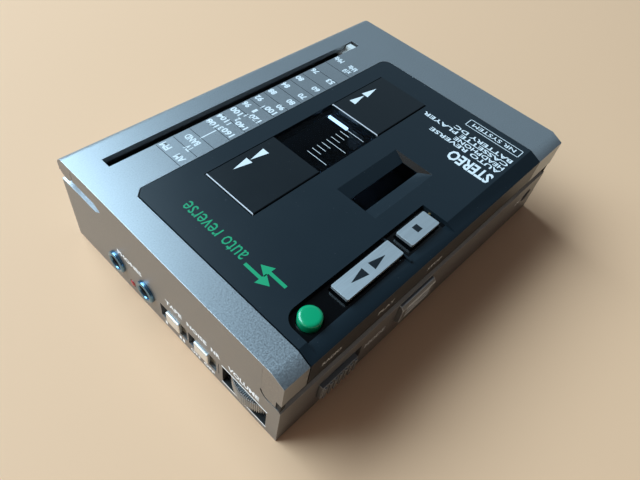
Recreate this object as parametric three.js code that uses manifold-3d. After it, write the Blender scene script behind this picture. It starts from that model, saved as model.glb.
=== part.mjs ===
// Pocket cassette player with headphones sockets, auto reverse and a radio scale on its lid.
// Millimetres, +Z up, lying on its back at z = 0. -X is the end with the sockets and switches,
// -Y the face with the lid latch, and +Y the side where the lid is hinged.
import * as THREE from 'three';
import { mergeVertices } from 'three/addons/utils/BufferGeometryUtils.js';
import { ConvexGeometry } from 'three/addons/geometries/ConvexGeometry.js';
import Module from 'manifold-3d';

// Overall sizes
const LENGTH = 117;
const WIDTH = 82.5;
const LID_TOP = 30;
const WALL = 1.8;
const FLOOR = 1.8;
const LID_SKIN = 1.6;

// Clearances
const GAP = 0.3;
const RUNNING = 0.08;

// Case and lid
const LIP = 16.7;
const LID_HEM = 20;
const BEVEL_WIDTH = 3.9;
const BEVEL_DROP = 1.7;
const STEP_BACK = 6.25;
const STEP_ARC = 2.4;
const HINGE_R = 3;
const PIN_R = 0.7;
const EAR_R = 1.15;
const EAR_WIDTH = 3;
const EAR_INSET = 6.5;
const KNOB_STAND = 1.6;

// Black panel of the lid and what is set into it
const PANEL_LEFT_MARGIN = 7.4;
const PANEL_RIGHT_MARGIN = 13.9;
const PANEL_REAR_MARGIN = 22.35;
const WINDOW_LENGTH = 23.2;
const WINDOW_CENTRE_X = 0.7;
const WINDING_LENGTH = 70.5;
const WINDING_WIDTH = 18.3;
const WINDING_CENTRE_Y = 4.25;
const KEY_PROUD = 0.25;
const TROUGH_DEPTH = 1.25;
const TROUGH_END_R = 3.7;
const PLAY_LENGTH = 19.9;
const STOP_LENGTH = 11.2;
const KEY_WIDTH = 5.2;
const CAP_THICKNESS = 0.85;
const CAP_LAP = 0.2;
const BUTTON_R = 2.85;
const BUTTON_PROUD = 0.8;
const SLOT_WIDTH = 3.3;

// Tape mechanism
const DECK_TOP = 15;
const DECK_THICKNESS = 1.3;
const HUB_SPACING = 42.5;
const HUB_Y = 7.1;
const CAPSTAN_SPACING = 48;
const CAPSTAN_Y = -17.5;
const CAPSTAN_R = 1;
const FLYWHEEL_R = 12;
const FLYWHEEL_Z = 4.2;
const FLYWHEEL_THICKNESS = 2.6;
const PULLEY_R = 2.6;
const BELT_THICKNESS = 0.6;
const MOTOR_R = 11;
const MOTOR_HEIGHT = 6.4;
const ROLLER_R = 4;
const DECK_POST_R = 2;
const CHASSIS_Z = 8.4;
const CHASSIS_THICKNESS = 1;
const CHASSIS_X = [-37, 31];
const CHASSIS_Y = [-31, 18];
const CHASSIS_POST_R = 1.8;
const CHASSIS_POST_INSET = 3;
const HOLD_SPRING_X = 42;
const HOLD_SPRING_Y = 8;

// Controls and sockets on the end
const VOLUME_R = 9.2;
const VOLUME_STAND = 0.9;
const VOLUME_TEETH = 36;
const SWITCH_WINDOW = 10.6;
const SWITCH_TRAVEL = 2;
const JACK_RING_R = 3.3;
const JACK_BORE_R = 1.8;
const JACK_Z = 7.6;

// Controls and socket on the front
const MODE_LENGTH = 12.3;
const MODE_TRAVEL = 2.5;
const LATCH_LENGTH = 14.3;
const LATCH_Z = [7.3, 14.7];
const LATCH_TRAVEL = 1.5;
const CATCH_LENGTH = 4.7;
const DC_Z = 9.6;

// Batteries
const CELL_R = 7.1;
const CELL_LENGTH = 49.2;
const DOOR_THICKNESS = 1.2;
const DOOR_INSET = 0.35;
const CONTACT_INSET = 1.6;

const left = -LENGTH / 2;
const right = LENGTH / 2;
const front = -WIDTH / 2;
const rear = WIDTH / 2;
const lidUnder = LID_TOP - LID_SKIN;
const rimTop = lidUnder - GAP;
const stepY = front + STEP_BACK;
const hingeY = rear - HINGE_R;
const hingeZ = LID_TOP - HINGE_R;
const deckUnder = DECK_TOP - DECK_THICKNESS;
const cellY = rear - WALL - 0.4 - CELL_R;
const cellZ = DOOR_THICKNESS + 0.1 + GAP + CELL_R + 0.05;
const cellWallY = cellY - CELL_R - GAP;
const doorHalf = CELL_R - DOOR_INSET;
const shelfZ = cellZ + CELL_R + 0.2;
const panelLeft = left + PANEL_LEFT_MARGIN;
const panelRight = right - PANEL_RIGHT_MARGIN;
const panelRear = rear - PANEL_REAR_MARGIN;
const troughFloor = LID_TOP - TROUGH_DEPTH;
const tubBottom = troughFloor - 1.75;
const keyY = front + 7.55;
const slotY = rear - 9.9;
const innerPlateTop = lidUnder - 0.2;
const innerPlateBottom = innerPlateTop - 0.8;
const motorX = right - WALL - 2.7 - MOTOR_R;
const motorY = 6;

// Shapes and solids

const wasm = await Module();
wasm.setup();

function toManifold(geometry) {
  const bare = geometry.clone();
  bare.deleteAttribute('normal');
  bare.deleteAttribute('uv');
  const merged = mergeVertices(bare, 1e-5);
  return new wasm.Manifold(new wasm.Mesh({
    numProp: 3,
    vertProperties: new Float32Array(merged.attributes.position.array),
    triVerts: new Uint32Array(merged.index.array),
  }));
}

function toGeometry(solid) {
  const mesh = solid.getMesh();
  const geometry = new THREE.BufferGeometry();
  geometry.setAttribute('position', new THREE.BufferAttribute(mesh.vertProperties, 3));
  geometry.setIndex(new THREE.BufferAttribute(mesh.triVerts, 1));
  return geometry;
}

function join(...pieces) {
  return toGeometry(pieces.map(toManifold).reduce((whole, piece) => whole.add(piece)));
}

function cut(base, ...tools) {
  return toGeometry(tools.map(toManifold).reduce((whole, tool) => whole.subtract(tool), toManifold(base)));
}

function common(a, b) {
  return toGeometry(toManifold(a).intersect(toManifold(b)));
}

function box(x0, x1, y0, y1, z0, z1) {
  const geometry = new THREE.BoxGeometry(x1 - x0, y1 - y0, z1 - z0);
  return geometry.translate((x0 + x1) / 2, (y0 + y1) / 2, (z0 + z1) / 2);
}

function outline(points) {
  return new THREE.Shape(points.map(([a, b]) => new THREE.Vector2(a, b)));
}

function roundedRect(a0, a1, b0, b1, r) {
  const shape = new THREE.Shape();
  shape.absarc(a1 - r, b1 - r, r, 0, Math.PI / 2);
  shape.absarc(a0 + r, b1 - r, r, Math.PI / 2, Math.PI);
  shape.absarc(a0 + r, b0 + r, r, Math.PI, Math.PI * 1.5);
  shape.absarc(a1 - r, b0 + r, r, Math.PI * 1.5, Math.PI * 2);
  return shape;
}

function slab(shape, z0, z1, curveSegments = 5) {
  const geometry = new THREE.ExtrudeGeometry(shape, { depth: z1 - z0, bevelEnabled: false, curveSegments });
  return geometry.translate(0, 0, z0);
}

// A (Y, Z) outline run along X
function barX(shape, x0, x1, curveSegments = 5) {
  const toX = new THREE.Matrix4().set(0, 0, 1, 0, 1, 0, 0, 0, 0, 1, 0, 0, 0, 0, 0, 1);
  return slab(shape, x0, x1, curveSegments).applyMatrix4(toX);
}

function rodX(r, x0, x1, y, z, sides = 18) {
  const geometry = new THREE.CylinderGeometry(r, r, x1 - x0, sides).rotateZ(-Math.PI / 2);
  return geometry.translate((x0 + x1) / 2, y, z);
}

function rodY(r, y0, y1, x, z, sides = 18) {
  return new THREE.CylinderGeometry(r, r, y1 - y0, sides).translate(x, (y0 + y1) / 2, z);
}

function rodZ(r, z0, z1, x, y, sides = 18) {
  const geometry = new THREE.CylinderGeometry(r, r, z1 - z0, sides).rotateX(Math.PI / 2);
  return geometry.translate(x, y, (z0 + z1) / 2);
}

// A hole that a faceted shaft of radius r turns in with the running clearance
function holeR(r, sides = 18) {
  return (r + RUNNING) / Math.cos(Math.PI / sides);
}

// A turned piece: [radius, height] points from the axis back to the axis, standing along Z
function turned(points, sides = 20) {
  const profile = points.map(([r, z]) => new THREE.Vector2(r, z));
  return new THREE.LatheGeometry(profile, sides).rotateX(Math.PI / 2);
}

function finish(color, roughness, metalness, opacity = 1) {
  const transparent = opacity < 1;
  return new THREE.MeshStandardMaterial({ color, roughness, metalness, opacity, transparent });
}

const silver = finish(0x9ba1a8, 0.42, 0.6);
const black = finish(0x14171d, 0.35, 0.1);
const darkPlastic = finish(0x22242a, 0.6, 0);
const steel = finish(0xb4b6b8, 0.35, 0.9);
const keyMetal = finish(0xc3c4c2, 0.35, 0.8);
const smoked = finish(0x1a1c22, 0.1, 0, 0.5);
const green = finish(0x0f8f4a, 0.3, 0);
const white = finish(0xe8e8e4, 0.5, 0);
const boardGreen = finish(0x2e5a34, 0.5, 0);
const rubberBlack = finish(0x17171a, 0.8, 0);
const jackBlue = finish(0x3d6d94, 0.3, 0.6);
const lampRed = finish(0xa02030, 0.2, 0);
const brass = finish(0xb8954a, 0.35, 0.9);
const cellWrap = finish(0x8a2f24, 0.4, 0.2);

const player = new THREE.Group();
player.position.set(KNOB_STAND / 2, KNOB_STAND / 2, 0);
const group = new THREE.Group();
group.add(player);

function place(name, geometry, material, x = 0, y = 0, z = 0, parent = player) {
  const mesh = new THREE.Mesh(geometry, material);
  mesh.name = name;
  mesh.position.set(x, y, z);
  parent.add(mesh);
}

// Lower case: floor, four walls, the battery bay's wall and the two ears of the hinge

const volumeX = left - VOLUME_STAND + VOLUME_R;
const volumeY = front + 11.4;
const volumeSlot = [volumeY - 7.6, volumeY + 7.6];
const noiseY = front + 26.6;
const tapeY = noiseY + 11.15;
const jackYs = [front + 48.85, front + 61.45];
const lampY = (jackYs[0] + jackYs[1]) / 2 + 0.6;
const lampZ = 3.5;
const modeX = left + 19.05;
const latchX = left + 48.85;
const dcX = right - 6.6;
const earXs = [left + EAR_INSET, right - EAR_INSET];
const doorLeft = -CELL_LENGTH - 3.4;
const screwSpots = [[left + 6.5, front + 4.6], [right - 6.5, front + 4.6],
  [left + 6.5, cellWallY - 3], [right - 6.5, cellWallY - 3]];

function frontStep() {
  const shape = new THREE.Shape();
  shape.moveTo(front - 1, LIP);
  shape.lineTo(stepY - STEP_ARC, LIP);
  shape.absarc(stepY - STEP_ARC, LIP + STEP_ARC, STEP_ARC, -Math.PI / 2, 0);
  shape.lineTo(stepY, rimTop + 1);
  shape.lineTo(front - 1, rimTop + 1);
  return barX(shape, left - 1, right + 1);
}

function hingeGroove(x0, x1) {
  const z = hingeZ - HINGE_R - 1.9;
  return barX(outline([[rear + 1, z], [rear + 1, z + 3.2], [rear - 15.4, z + 3.2],
    [rear - 17.8, z + 1.6], [rear - 15.4, z]]), x0, x1);
}

function hingeEar(x) {
  const x0 = x - EAR_WIDTH / 2;
  const x1 = x + EAR_WIDTH / 2;
  const foot = box(x0, x1, hingeY - EAR_R, rear - WALL + 0.4, shelfZ - 2, hingeZ - HINGE_R - 0.5);
  const neck = box(x0, x1, hingeY - EAR_R, hingeY + EAR_R, hingeZ - HINGE_R - 1, hingeZ);
  const boss = rodX(EAR_R, x0, x1, hingeY, hingeZ);
  return cut(join(foot, neck, boss), rodX(holeR(PIN_R), x0 - 1, x1 + 1, hingeY, hingeZ));
}

function lowerCase() {
  const shell = cut(
    box(left, right, front, rear, 0, rimTop),
    box(left + WALL, right - WALL, front + WALL, rear - WALL, FLOOR, rimTop + 1),
    frontStep(),
    rodX(HINGE_R + GAP, left - 1, right + 1, hingeY, hingeZ, 24),
    hingeGroove(left - 1, left + 1),
    hingeGroove(right - 1, right + 1),
    barX(outline([[front - 1, LIP + 1], [front - 1, LIP - 1.7], [front + 0.8, LIP + 0.1]]),
      left - 1, right + 1),
  );
  const inner = left + WALL + 1;
  const endCuts = [
    box(left - 1, inner, volumeSlot[0], volumeSlot[1], 2.2, 9.9),
    box(left - 1, inner, noiseY - SWITCH_WINDOW / 2, noiseY + SWITCH_WINDOW / 2, 3.5, 8.9),
    box(left - 1, inner, tapeY - SWITCH_WINDOW / 2, tapeY + SWITCH_WINDOW / 2, 3.5, 8.9),
    rodX(1.25, left - 1, inner, lampY, lampZ, 16),
    ...jackYs.map((y) => rodX(JACK_RING_R, left - 1, inner, y, JACK_Z)),
  ];
  const modeHalf = MODE_LENGTH / 2;
  const frontInner = front + WALL + 1;
  const frontCuts = [
    box(modeX - modeHalf - GAP, modeX + modeHalf + MODE_TRAVEL + GAP, front - 1, front + 1, 4.6, 11.4),
    box(modeX - 3, modeX + 3 + MODE_TRAVEL, front, frontInner, 6.5, 9.5),
    box(latchX - LATCH_LENGTH / 2 - GAP, latchX + LATCH_LENGTH / 2 + GAP, front - 1, frontInner,
      LATCH_Z[0] - GAP, LATCH_Z[1] + GAP),
    rodY(2.4, front - 1, frontInner, dcX, DC_Z),
  ];
  const floorCuts = [
    box(doorLeft - GAP, right + 1, cellY - doorHalf - GAP, cellY + doorHalf + GAP, -1, FLOOR),
    ...screwSpots.flatMap(([x, y]) => [rodZ(2, -1, 1.1, x, y, 12), rodZ(1, 0, FLOOR + 1, x, y, 10)]),
  ];
  const bayWall = box(left + WALL - 0.4, right - WALL + 0.4, cellWallY - 0.9, cellWallY, FLOOR - 0.4,
    deckUnder - GAP);
  return join(cut(join(shell, bayWall), ...endCuts, ...frontCuts, ...floorCuts), ...earXs.map(hingeEar));
}

place('lower_case', lowerCase(), silver);

for (const [i, x] of earXs.entries()) {
  place(i ? 'hinge_pin_right' : 'hinge_pin_left', rodX(PIN_R, -4.6, 4.6, 0, 0), steel, x, hingeY, hingeZ);
}

for (const [i, [x, y]] of screwSpots.entries()) {
  const screw = turned([[0, 0.3], [0.5, 0.3], [0.5, 0.15], [1.7, 0.15], [1.7, 0.95], [0.85, 0.95],
    [0.85, 1.7], [0, 1.7]], 10);
  place(`case_screw_${i + 1}`, screw, steel, x, y, 0);
}

// Deck plate: the floor of the cassette well, with a shelf over the batteries. The trim strip
// stands on its front edge and closes the gap under the lid's hem.

const hubXs = [-HUB_SPACING / 2, HUB_SPACING / 2];
const capstanXs = [-CAPSTAN_SPACING / 2, CAPSTAN_SPACING / 2];
const deckHalf = right - WALL - 0.4;
const upstandY = front + WALL + 0.15;
const latchInner = front + WALL + 0.1;
function deckPlate() {
  const step = cellWallY - 1.6;
  const plate = join(
    box(-deckHalf, deckHalf, upstandY, step + 1.2, deckUnder, DECK_TOP),
    box(-deckHalf, deckHalf, step, step + 1.2, deckUnder, shelfZ + 0.75),
    box(-deckHalf, deckHalf, step, hingeY - EAR_R - 0.5, shelfZ, shelfZ + 0.75),
    ...[-45, 45].flatMap((x) =>
      [-8, 17].map((y) => rodZ(DECK_POST_R, DECK_TOP - 0.5, shelfZ + 0.75, x, y, 16))),
  );
  return cut(
    plate,
    box(latchX - LATCH_LENGTH / 2 - GAP, latchX + LATCH_LENGTH / 2 + GAP, upstandY - 1,
      latchInner + LATCH_TRAVEL + GAP, deckUnder - 1, DECK_TOP + 1),
    ...hubXs.map((x) => rodZ(4.2, deckUnder - 1, DECK_TOP + 1, x, HUB_Y, 20)),
    ...capstanXs.map((x) => rodZ(2, deckUnder - 1, DECK_TOP + 1, x, CAPSTAN_Y, 16)),
  );
}

function frontTrim() {
  const strip = box(-deckHalf, deckHalf, upstandY, upstandY + 1.2, DECK_TOP + GAP, LID_HEM + 0.6);
  const catchSlot = box(latchX - CATCH_LENGTH, latchX + CATCH_LENGTH, upstandY - 1, upstandY + 2,
    DECK_TOP + 1.2, LID_HEM + 2);
  return cut(strip, catchSlot);
}

place('deck_plate', deckPlate(), darkPlastic);
place('front_trim', frontTrim(), black);

// Drive: chassis plate, motor, pulley, two flywheels on their capstans, and the belt

function chassisPlate() {
  const inset = CHASSIS_POST_INSET;
  const posts = [CHASSIS_X[0] + inset, CHASSIS_X[1] - inset].flatMap((x) =>
    [CHASSIS_Y[0] + inset, CHASSIS_Y[1] - inset].map((y) =>
      rodZ(CHASSIS_POST_R, CHASSIS_Z + 0.5, deckUnder - GAP, x, y, 12)));
  const plate = join(
    slab(roundedRect(...CHASSIS_X, ...CHASSIS_Y, inset), CHASSIS_Z, CHASSIS_Z + CHASSIS_THICKNESS),
    ...posts,
  );
  return cut(plate,
    ...hubXs.map((x) => rodZ(holeR(0.9), 0, 12, x, HUB_Y)),
    ...capstanXs.map((x) => rodZ(holeR(CAPSTAN_R), 0, 12, x, CAPSTAN_Y)));
}

place('chassis_plate', chassisPlate(), steel);
place('circuit_board', box(left + 8.5, right - 6.5, front + 9, cellWallY - 1.5, 2.2, 3.2), boardGreen);

const motorZ = FLYWHEEL_Z + FLYWHEEL_THICKNESS;
const motor = cut(turned([[0, 0], [MOTOR_R - 0.8, 0], [MOTOR_R, 0.8], [MOTOR_R, MOTOR_HEIGHT - 0.8],
  [MOTOR_R - 0.8, MOTOR_HEIGHT], [0, MOTOR_HEIGHT]], 28), rodZ(holeR(0.7), -1, 4, 0, 0));
place('drive_motor', motor, steel, motorX, motorY, motorZ);
place('motor_pulley', turned([[0, 0], [PULLEY_R + 0.8, 0], [PULLEY_R, 0.6], [PULLEY_R, 1.8],
  [PULLEY_R + 0.8, 2.3], [0.7, 2.3], [0.7, 5.5], [0, 5.5]]), brass, motorX, motorY, FLYWHEEL_Z);

const flywheel = turned([[0, -0.6], [CAPSTAN_R, -0.6], [CAPSTAN_R, 0], [FLYWHEEL_R, 0],
  [FLYWHEEL_R, FLYWHEEL_THICKNESS], [3, FLYWHEEL_THICKNESS], [3, FLYWHEEL_THICKNESS + 0.9],
  [CAPSTAN_R, FLYWHEEL_THICKNESS + 0.9], [CAPSTAN_R, 19.6], [0.7, 20], [0, 20]], 24);
place('flywheel_left', flywheel, brass, capstanXs[0], CAPSTAN_Y, FLYWHEEL_Z);
place('flywheel_right', flywheel, brass, capstanXs[1], CAPSTAN_Y, FLYWHEEL_Z);

// One side of the belt: its offset moves the line outwards from the loop's middle
function beltLine(offset) {
  const stand = BELT_THICKNESS / 2 + 0.1;
  const wheels = [
    { x: capstanXs[0], y: CAPSTAN_Y, r: FLYWHEEL_R + stand + offset, turn: 1 },
    { x: capstanXs[1], y: CAPSTAN_Y, r: FLYWHEEL_R + stand - offset, turn: -1 },
    { x: motorX, y: motorY, r: PULLEY_R + stand + offset, turn: 1 },
  ];
  const headings = wheels.map((a, i) => {
    const b = wheels[(i + 1) % wheels.length];
    const lean = Math.asin((a.turn * a.r - b.turn * b.r) / Math.hypot(b.x - a.x, b.y - a.y));
    return Math.atan2(b.y - a.y, b.x - a.x) + lean;
  });
  return wheels.flatMap((w, i) => {
    const start = headings[(i + wheels.length - 1) % wheels.length];
    let sweep = (headings[i] - start) * w.turn;
    while (sweep < 0) sweep += Math.PI * 2;
    const steps = Math.max(3, Math.round(sweep / 0.26));
    return Array.from({ length: steps + 1 }, (_, k) => {
      const heading = start + (w.turn * sweep * k) / steps;
      return [w.x + w.turn * w.r * Math.sin(heading), w.y - w.turn * w.r * Math.cos(heading)];
    });
  });
}

const beltShape = outline(beltLine(BELT_THICKNESS / 2));
beltShape.holes.push(new THREE.Path(beltLine(-BELT_THICKNESS / 2).map(([a, b]) => new THREE.Vector2(a, b))));
place('drive_belt', slab(beltShape, FLYWHEEL_Z + 0.8, FLYWHEEL_Z + 1.6), rubberBlack);

// Reel spindles with three drive splines each

function spindle() {
  const core = turned([[0, -1.8], [0.9, -1.8], [0.9, 0], [8, 0], [8, 1.5], [3.2, 1.5], [3.2, 6.4],
    [2.3, 6.4], [2.3, 12.6], [1.2, 14], [0, 14]]);
  const splines = [0, 1, 2].map((i) => box(0.5, 3.2, -0.4, 0.4, 6, 12).rotateZ((i * Math.PI * 2) / 3));
  return join(core, ...splines);
}

const spindleZ = CHASSIS_Z + 1.6;
place('spindle_left', spindle(), white, hubXs[0], HUB_Y, spindleZ);
place('spindle_right', spindle(), white, hubXs[1], HUB_Y, spindleZ);

// Head plate: slides towards the tape with the head and both pinch rollers

const rollerY = front + 9.25;
const headPlateZ = DECK_TOP + 0.25;
const headPlate = join(
  slab(roundedRect(-33, 33, front + 4.65, front + 10.65, 1.5), headPlateZ, headPlateZ + 0.8),
  ...capstanXs.map((x) => rodZ(0.7, headPlateZ + 0.4, headPlateZ + 7.7, x, rollerY)),
);
place('head_plate', headPlate, steel);
const head = slab(outline([[-6, -2.2], [6, -2.2], [6, 1], [3.2, 2], [-3.2, 2], [-6, 1]]), 0, 6.7);
place('playback_head', head, steel, 0, front + 9.35, headPlateZ + 1.05);
const roller = cut(rodZ(ROLLER_R, 0, 5.5, 0, 0, 24), rodZ(holeR(0.7), -1, 7, 0, 0));
place('pinch_roller_left', roller, rubberBlack, capstanXs[0], rollerY, headPlateZ + 1.5);
place('pinch_roller_right', roller, rubberBlack, capstanXs[1], rollerY, headPlateZ + 1.5);

// Volume wheel, its potentiometer, two slide switches, two phone jacks and the battery lamp

function volumeWheel() {
  const rim = Array.from({ length: VOLUME_TEETH * 2 }, (_, i) => {
    const r = i % 2 ? VOLUME_R - 0.35 : VOLUME_R;
    const a = (i * Math.PI) / VOLUME_TEETH;
    return [r * Math.cos(a), r * Math.sin(a)];
  });
  return join(slab(outline(rim), 0, 3.8), rodZ(1.1, 1, 7, 0, 0));
}

place('volume_wheel', volumeWheel(), steel, volumeX, volumeY, 4);
const potHalf = 5.2;
const pot = cut(
  box(volumeX - potHalf, volumeX + potHalf, volumeY - potHalf, volumeY + potHalf, 8.2, 12.4),
  rodZ(holeR(1.1), 7, 11.4, volumeX, volumeY));
place('volume_pot', pot, darkPlastic);

function slideSwitch(y) {
  const half = SWITCH_WINDOW / 2 - 0.2;
  const body = box(left + 0.9, left + 8, y - half, y + half, 3.7, 8.7);
  return cut(body, box(left, left + 3, y - 1.25 - SWITCH_TRAVEL, y + 1.25 + SWITCH_TRAVEL, 5.5, 6.9));
}

function switchKnob() {
  return join(box(-KNOB_STAND, 0.6, -2.6, 2.6, 4.1, 8.3), box(0.4, 2.4, -1, 1, 5.75, 6.65));
}

place('noise_switch', slideSwitch(noiseY), steel);
place('tape_switch', slideSwitch(tapeY), steel);
place('noise_switch_knob', switchKnob(), keyMetal, left, noiseY + 0.05, 0);
place('tape_switch_knob', switchKnob(), keyMetal, left, tapeY, 0);

for (const [i, y] of jackYs.entries()) {
  const body = cut(box(left + 2.1, left + 13, -3.2, 3.2, JACK_Z - 3.2, JACK_Z + 3.2),
    rodX(JACK_BORE_R, left + 1, left + 12, 0, JACK_Z));
  place(`phone_jack_${i + 1}`, body, darkPlastic, 0, y, 0);
  const ring = turned([[JACK_BORE_R, 0], [JACK_RING_R - 0.3, 0], [JACK_RING_R - 0.3, 1.9],
    [JACK_RING_R, 1.9], [JACK_RING_R, 2.5], [JACK_RING_R - 0.4, 2.9], [JACK_BORE_R + 0.3, 2.9],
    [JACK_BORE_R, 2.6], [JACK_BORE_R, 0]]).rotateY(-Math.PI / 2);
  place(`jack_ring_${i + 1}`, ring, jackBlue, left + 1.9, y, JACK_Z);
}

place('battery_lamp', turned([[0, 0], [1.1, 0], [1.1, 2.6], [0.6, 3], [0, 3.1]], 16)
  .rotateY(-Math.PI / 2), lampRed, left + 2.8, lampY, lampZ);

// Slide knob, lid latch and power socket on the front face

function modeKnob() {
  const half = MODE_LENGTH / 2;
  const ribs = Array.from({ length: 7 }, (_, i) => {
    const x = -half + 0.9 + (i * (MODE_LENGTH - 1.8)) / 6;
    return box(x - 0.4, x + 0.4, -KNOB_STAND, -KNOB_STAND + 1, 5.4, 10.6);
  });
  return join(box(-half, half, -KNOB_STAND + 0.45, 0.7, 5, 11), box(-2.6, 2.6, 0.5, 3.2, 6.8, 9.2), ...ribs);
}

place('mode_switch_knob', modeKnob(), silver, modeX, front, 0);

function latchButton() {
  const half = LATCH_LENGTH / 2;
  const [z0, z1] = LATCH_Z;
  const inner = latchInner - front;
  const block = barX(outline([[-1.4, z0 + 1], [-0.6, z0], [inner, z0], [inner, z1], [-0.6, z1],
    [-1.4, z1 - 1]]), -half, half);
  const grooves = [0, 1, 2].map((i) => z0 + 2.1 + i * 1.6).map((z) =>
    box(-half + 2, half - 2, -2, -1, z, z + 0.6));
  return cut(block, ...grooves);
}

place('latch_button', latchButton(), silver, latchX, front, 0);
place('latch_spring', box(-4.5, 4.5, front + 4.9, front + 5.3, 5, deckUnder - GAP), steel, latchX, 0, 0);
const socket = cut(box(-4.3, 4.3, front + WALL + 0.2, front + 10.7, 5.7, deckUnder - GAP),
  rodY(1.6, front, front + 9, 0, DC_Z));
place('dc_socket', socket, darkPlastic, dcX, 0, 0);

// Two cells in line, their contacts, and the door that slides out under them

const cell = turned([[0, 0], [CELL_R - 0.6, 0], [CELL_R, 0.6], [CELL_R, CELL_LENGTH - 0.8],
  [CELL_R - 0.8, CELL_LENGTH], [2.7, CELL_LENGTH], [2.7, CELL_LENGTH + 1.1], [0, CELL_LENGTH + 1.1]], 24)
  .rotateY(-Math.PI / 2);
place('battery_cell_1', cell, cellWrap, -0.2, cellY, cellZ);
place('battery_cell_2', cell, cellWrap, CELL_LENGTH + 1.2, cellY, cellZ);
const contactHalf = CELL_R - CONTACT_INSET;
const contact = box(-0.3, 0.3, 0.5 - contactHalf, contactHalf - 0.5, -contactHalf, contactHalf);
place('battery_contact', contact, steel, -CELL_LENGTH - 2, cellY, cellZ);

class SpringPath extends THREE.Curve {
  getPoint(t, target = new THREE.Vector3()) {
    const a = t * Math.PI * 2 * 3.5;
    return target.set(t * 3.4, 3.4 * Math.cos(a), 3.4 * Math.sin(a));
  }
}

const wire = new THREE.Shape().absarc(0, 0, 0.35, 0, Math.PI * 2);
const coil = new THREE.ExtrudeGeometry(wire, { steps: 40, extrudePath: new SpringPath(), curveSegments: 3 });
place('battery_spring', coil, steel, CELL_LENGTH + 1.7, cellY, cellZ);

const doorGrips = [0, 1, 2, 3].map((i) => right - 14 + i * 2).map((x) =>
  box(x, x + 0.8, cellY - 4, cellY + 4, 0, 0.5));
const door = cut(box(doorLeft, right, cellY - doorHalf, cellY + doorHalf, 0.1, 0.1 + DOOR_THICKNESS), ...doorGrips);
place('battery_door', door, silver);

// Lid: silver frame with the hinge barrel, black panel, inner plate

const bevelAtHem = LID_TOP - BEVEL_DROP;

function lidSection(rearEnd) {
  const shape = new THREE.Shape();
  shape.moveTo(front + LID_SKIN, LID_HEM);
  shape.lineTo(front + LID_SKIN, bevelAtHem - 1);
  shape.lineTo(front + BEVEL_WIDTH + 0.05, lidUnder);
  if (rearEnd < hingeY) {
    shape.lineTo(rearEnd, lidUnder);
    shape.lineTo(rearEnd, LID_TOP);
  } else {
    const meet = Math.PI - Math.asin((lidUnder - hingeZ) / HINGE_R);
    shape.absarc(hingeY, hingeZ, HINGE_R, meet, Math.PI * 2.5);
  }
  shape.lineTo(front + BEVEL_WIDTH, LID_TOP);
  shape.lineTo(front, bevelAtHem);
  shape.lineTo(front, LID_HEM);
  return shape;
}

function cornerSkirt(x0, x1) {
  const shape = new THREE.Shape();
  shape.moveTo(front, LID_HEM);
  shape.lineTo(front + LID_SKIN, LID_HEM);
  shape.lineTo(front + LID_SKIN, LIP + GAP);
  shape.absarc(stepY - STEP_ARC, LIP + STEP_ARC, STEP_ARC - GAP, -Math.PI / 2, 0);
  shape.lineTo(stepY - GAP, lidUnder + 0.2);
  shape.lineTo(front + BEVEL_WIDTH - 3.2, lidUnder + 0.2);
  shape.lineTo(front, bevelAtHem);
  return barX(shape, x0, x1, 4);
}

function panelPlan(grow) {
  const shape = new THREE.Shape();
  shape.moveTo(panelLeft - grow, front - 2);
  shape.lineTo(panelRight + grow, front - 2);
  shape.absarc(panelRight + grow - 3, panelRear + grow - 3, 3, 0, Math.PI / 2);
  shape.lineTo(panelLeft - grow + 2, panelRear + grow);
  shape.lineTo(panelLeft - grow, panelRear + grow - 2);
  return shape;
}

const slotEnds = [left + 7.7, right - 14.9];
const railY = slotY;
const railZ = lidUnder - 0.95;

function lidFrame() {
  const railEar = (x0, x1) => box(x0, x1, railY - 2, railY + 2, lidUnder - 1.9, lidUnder + 0.3);
  const whole = join(
    barX(lidSection(rear), left, right, 18),
    cornerSkirt(left, left + LID_SKIN),
    cornerSkirt(right - LID_SKIN, right),
    railEar(left + 2.6, left + 5.1),
    railEar(right - 5.1, right - 2.6),
  );
  return cut(
    whole,
    slab(panelPlan(0.2), LID_HEM - 1, LID_TOP + 1),
    box(slotEnds[0], slotEnds[1], slotY - SLOT_WIDTH / 2, slotY + SLOT_WIDTH / 2, lidUnder - 1, LID_TOP + 1),
    rodX(holeR(0.6), left + 2, right - 2, railY, railZ),
    ...earXs.flatMap((x) => [
      box(x - EAR_WIDTH / 2 - GAP, x + EAR_WIDTH / 2 + GAP, hingeY - 3.5, rear + 1, hingeZ - 4, lidUnder),
      rodX(holeR(PIN_R), x - 4.8, x + 4.8, hingeY, hingeZ)]),
  );
}

place('lid_frame', lidFrame(), silver);

const playX = left + 33.4;
const stopX = playX + 18.95;
const buttonX = left + 14.6;
const buttonY = front + 7.65;
const keyXs = { play: [playX, PLAY_LENGTH], stop: [stopX, STOP_LENGTH] };
const windingLeft = WINDOW_CENTRE_X - WINDING_LENGTH / 2;
const windingRight = WINDOW_CENTRE_X + WINDING_LENGTH / 2;
const windingFront = WINDING_CENTRE_Y - WINDING_WIDTH / 2;
const windingRear = WINDING_CENTRE_Y + WINDING_WIDTH / 2;
const fingerX = [WINDOW_CENTRE_X - 12.6, WINDOW_CENTRE_X + 11.8];
const fingerY = [-24.6, -11.6];

function trough() {
  const shape = new THREE.Shape();
  const x0 = left + 9.9;
  const top = front + 11.65;
  shape.moveTo(x0, front - 1);
  shape.lineTo(stopX + STOP_LENGTH / 2 + 2, front - 1);
  shape.lineTo(stopX + STOP_LENGTH / 2 + 2, top);
  shape.absarc(x0 + TROUGH_END_R, top - TROUGH_END_R, TROUGH_END_R, Math.PI / 2, Math.PI);
  return slab(shape, troughFloor, LID_TOP + 1);
}

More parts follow.
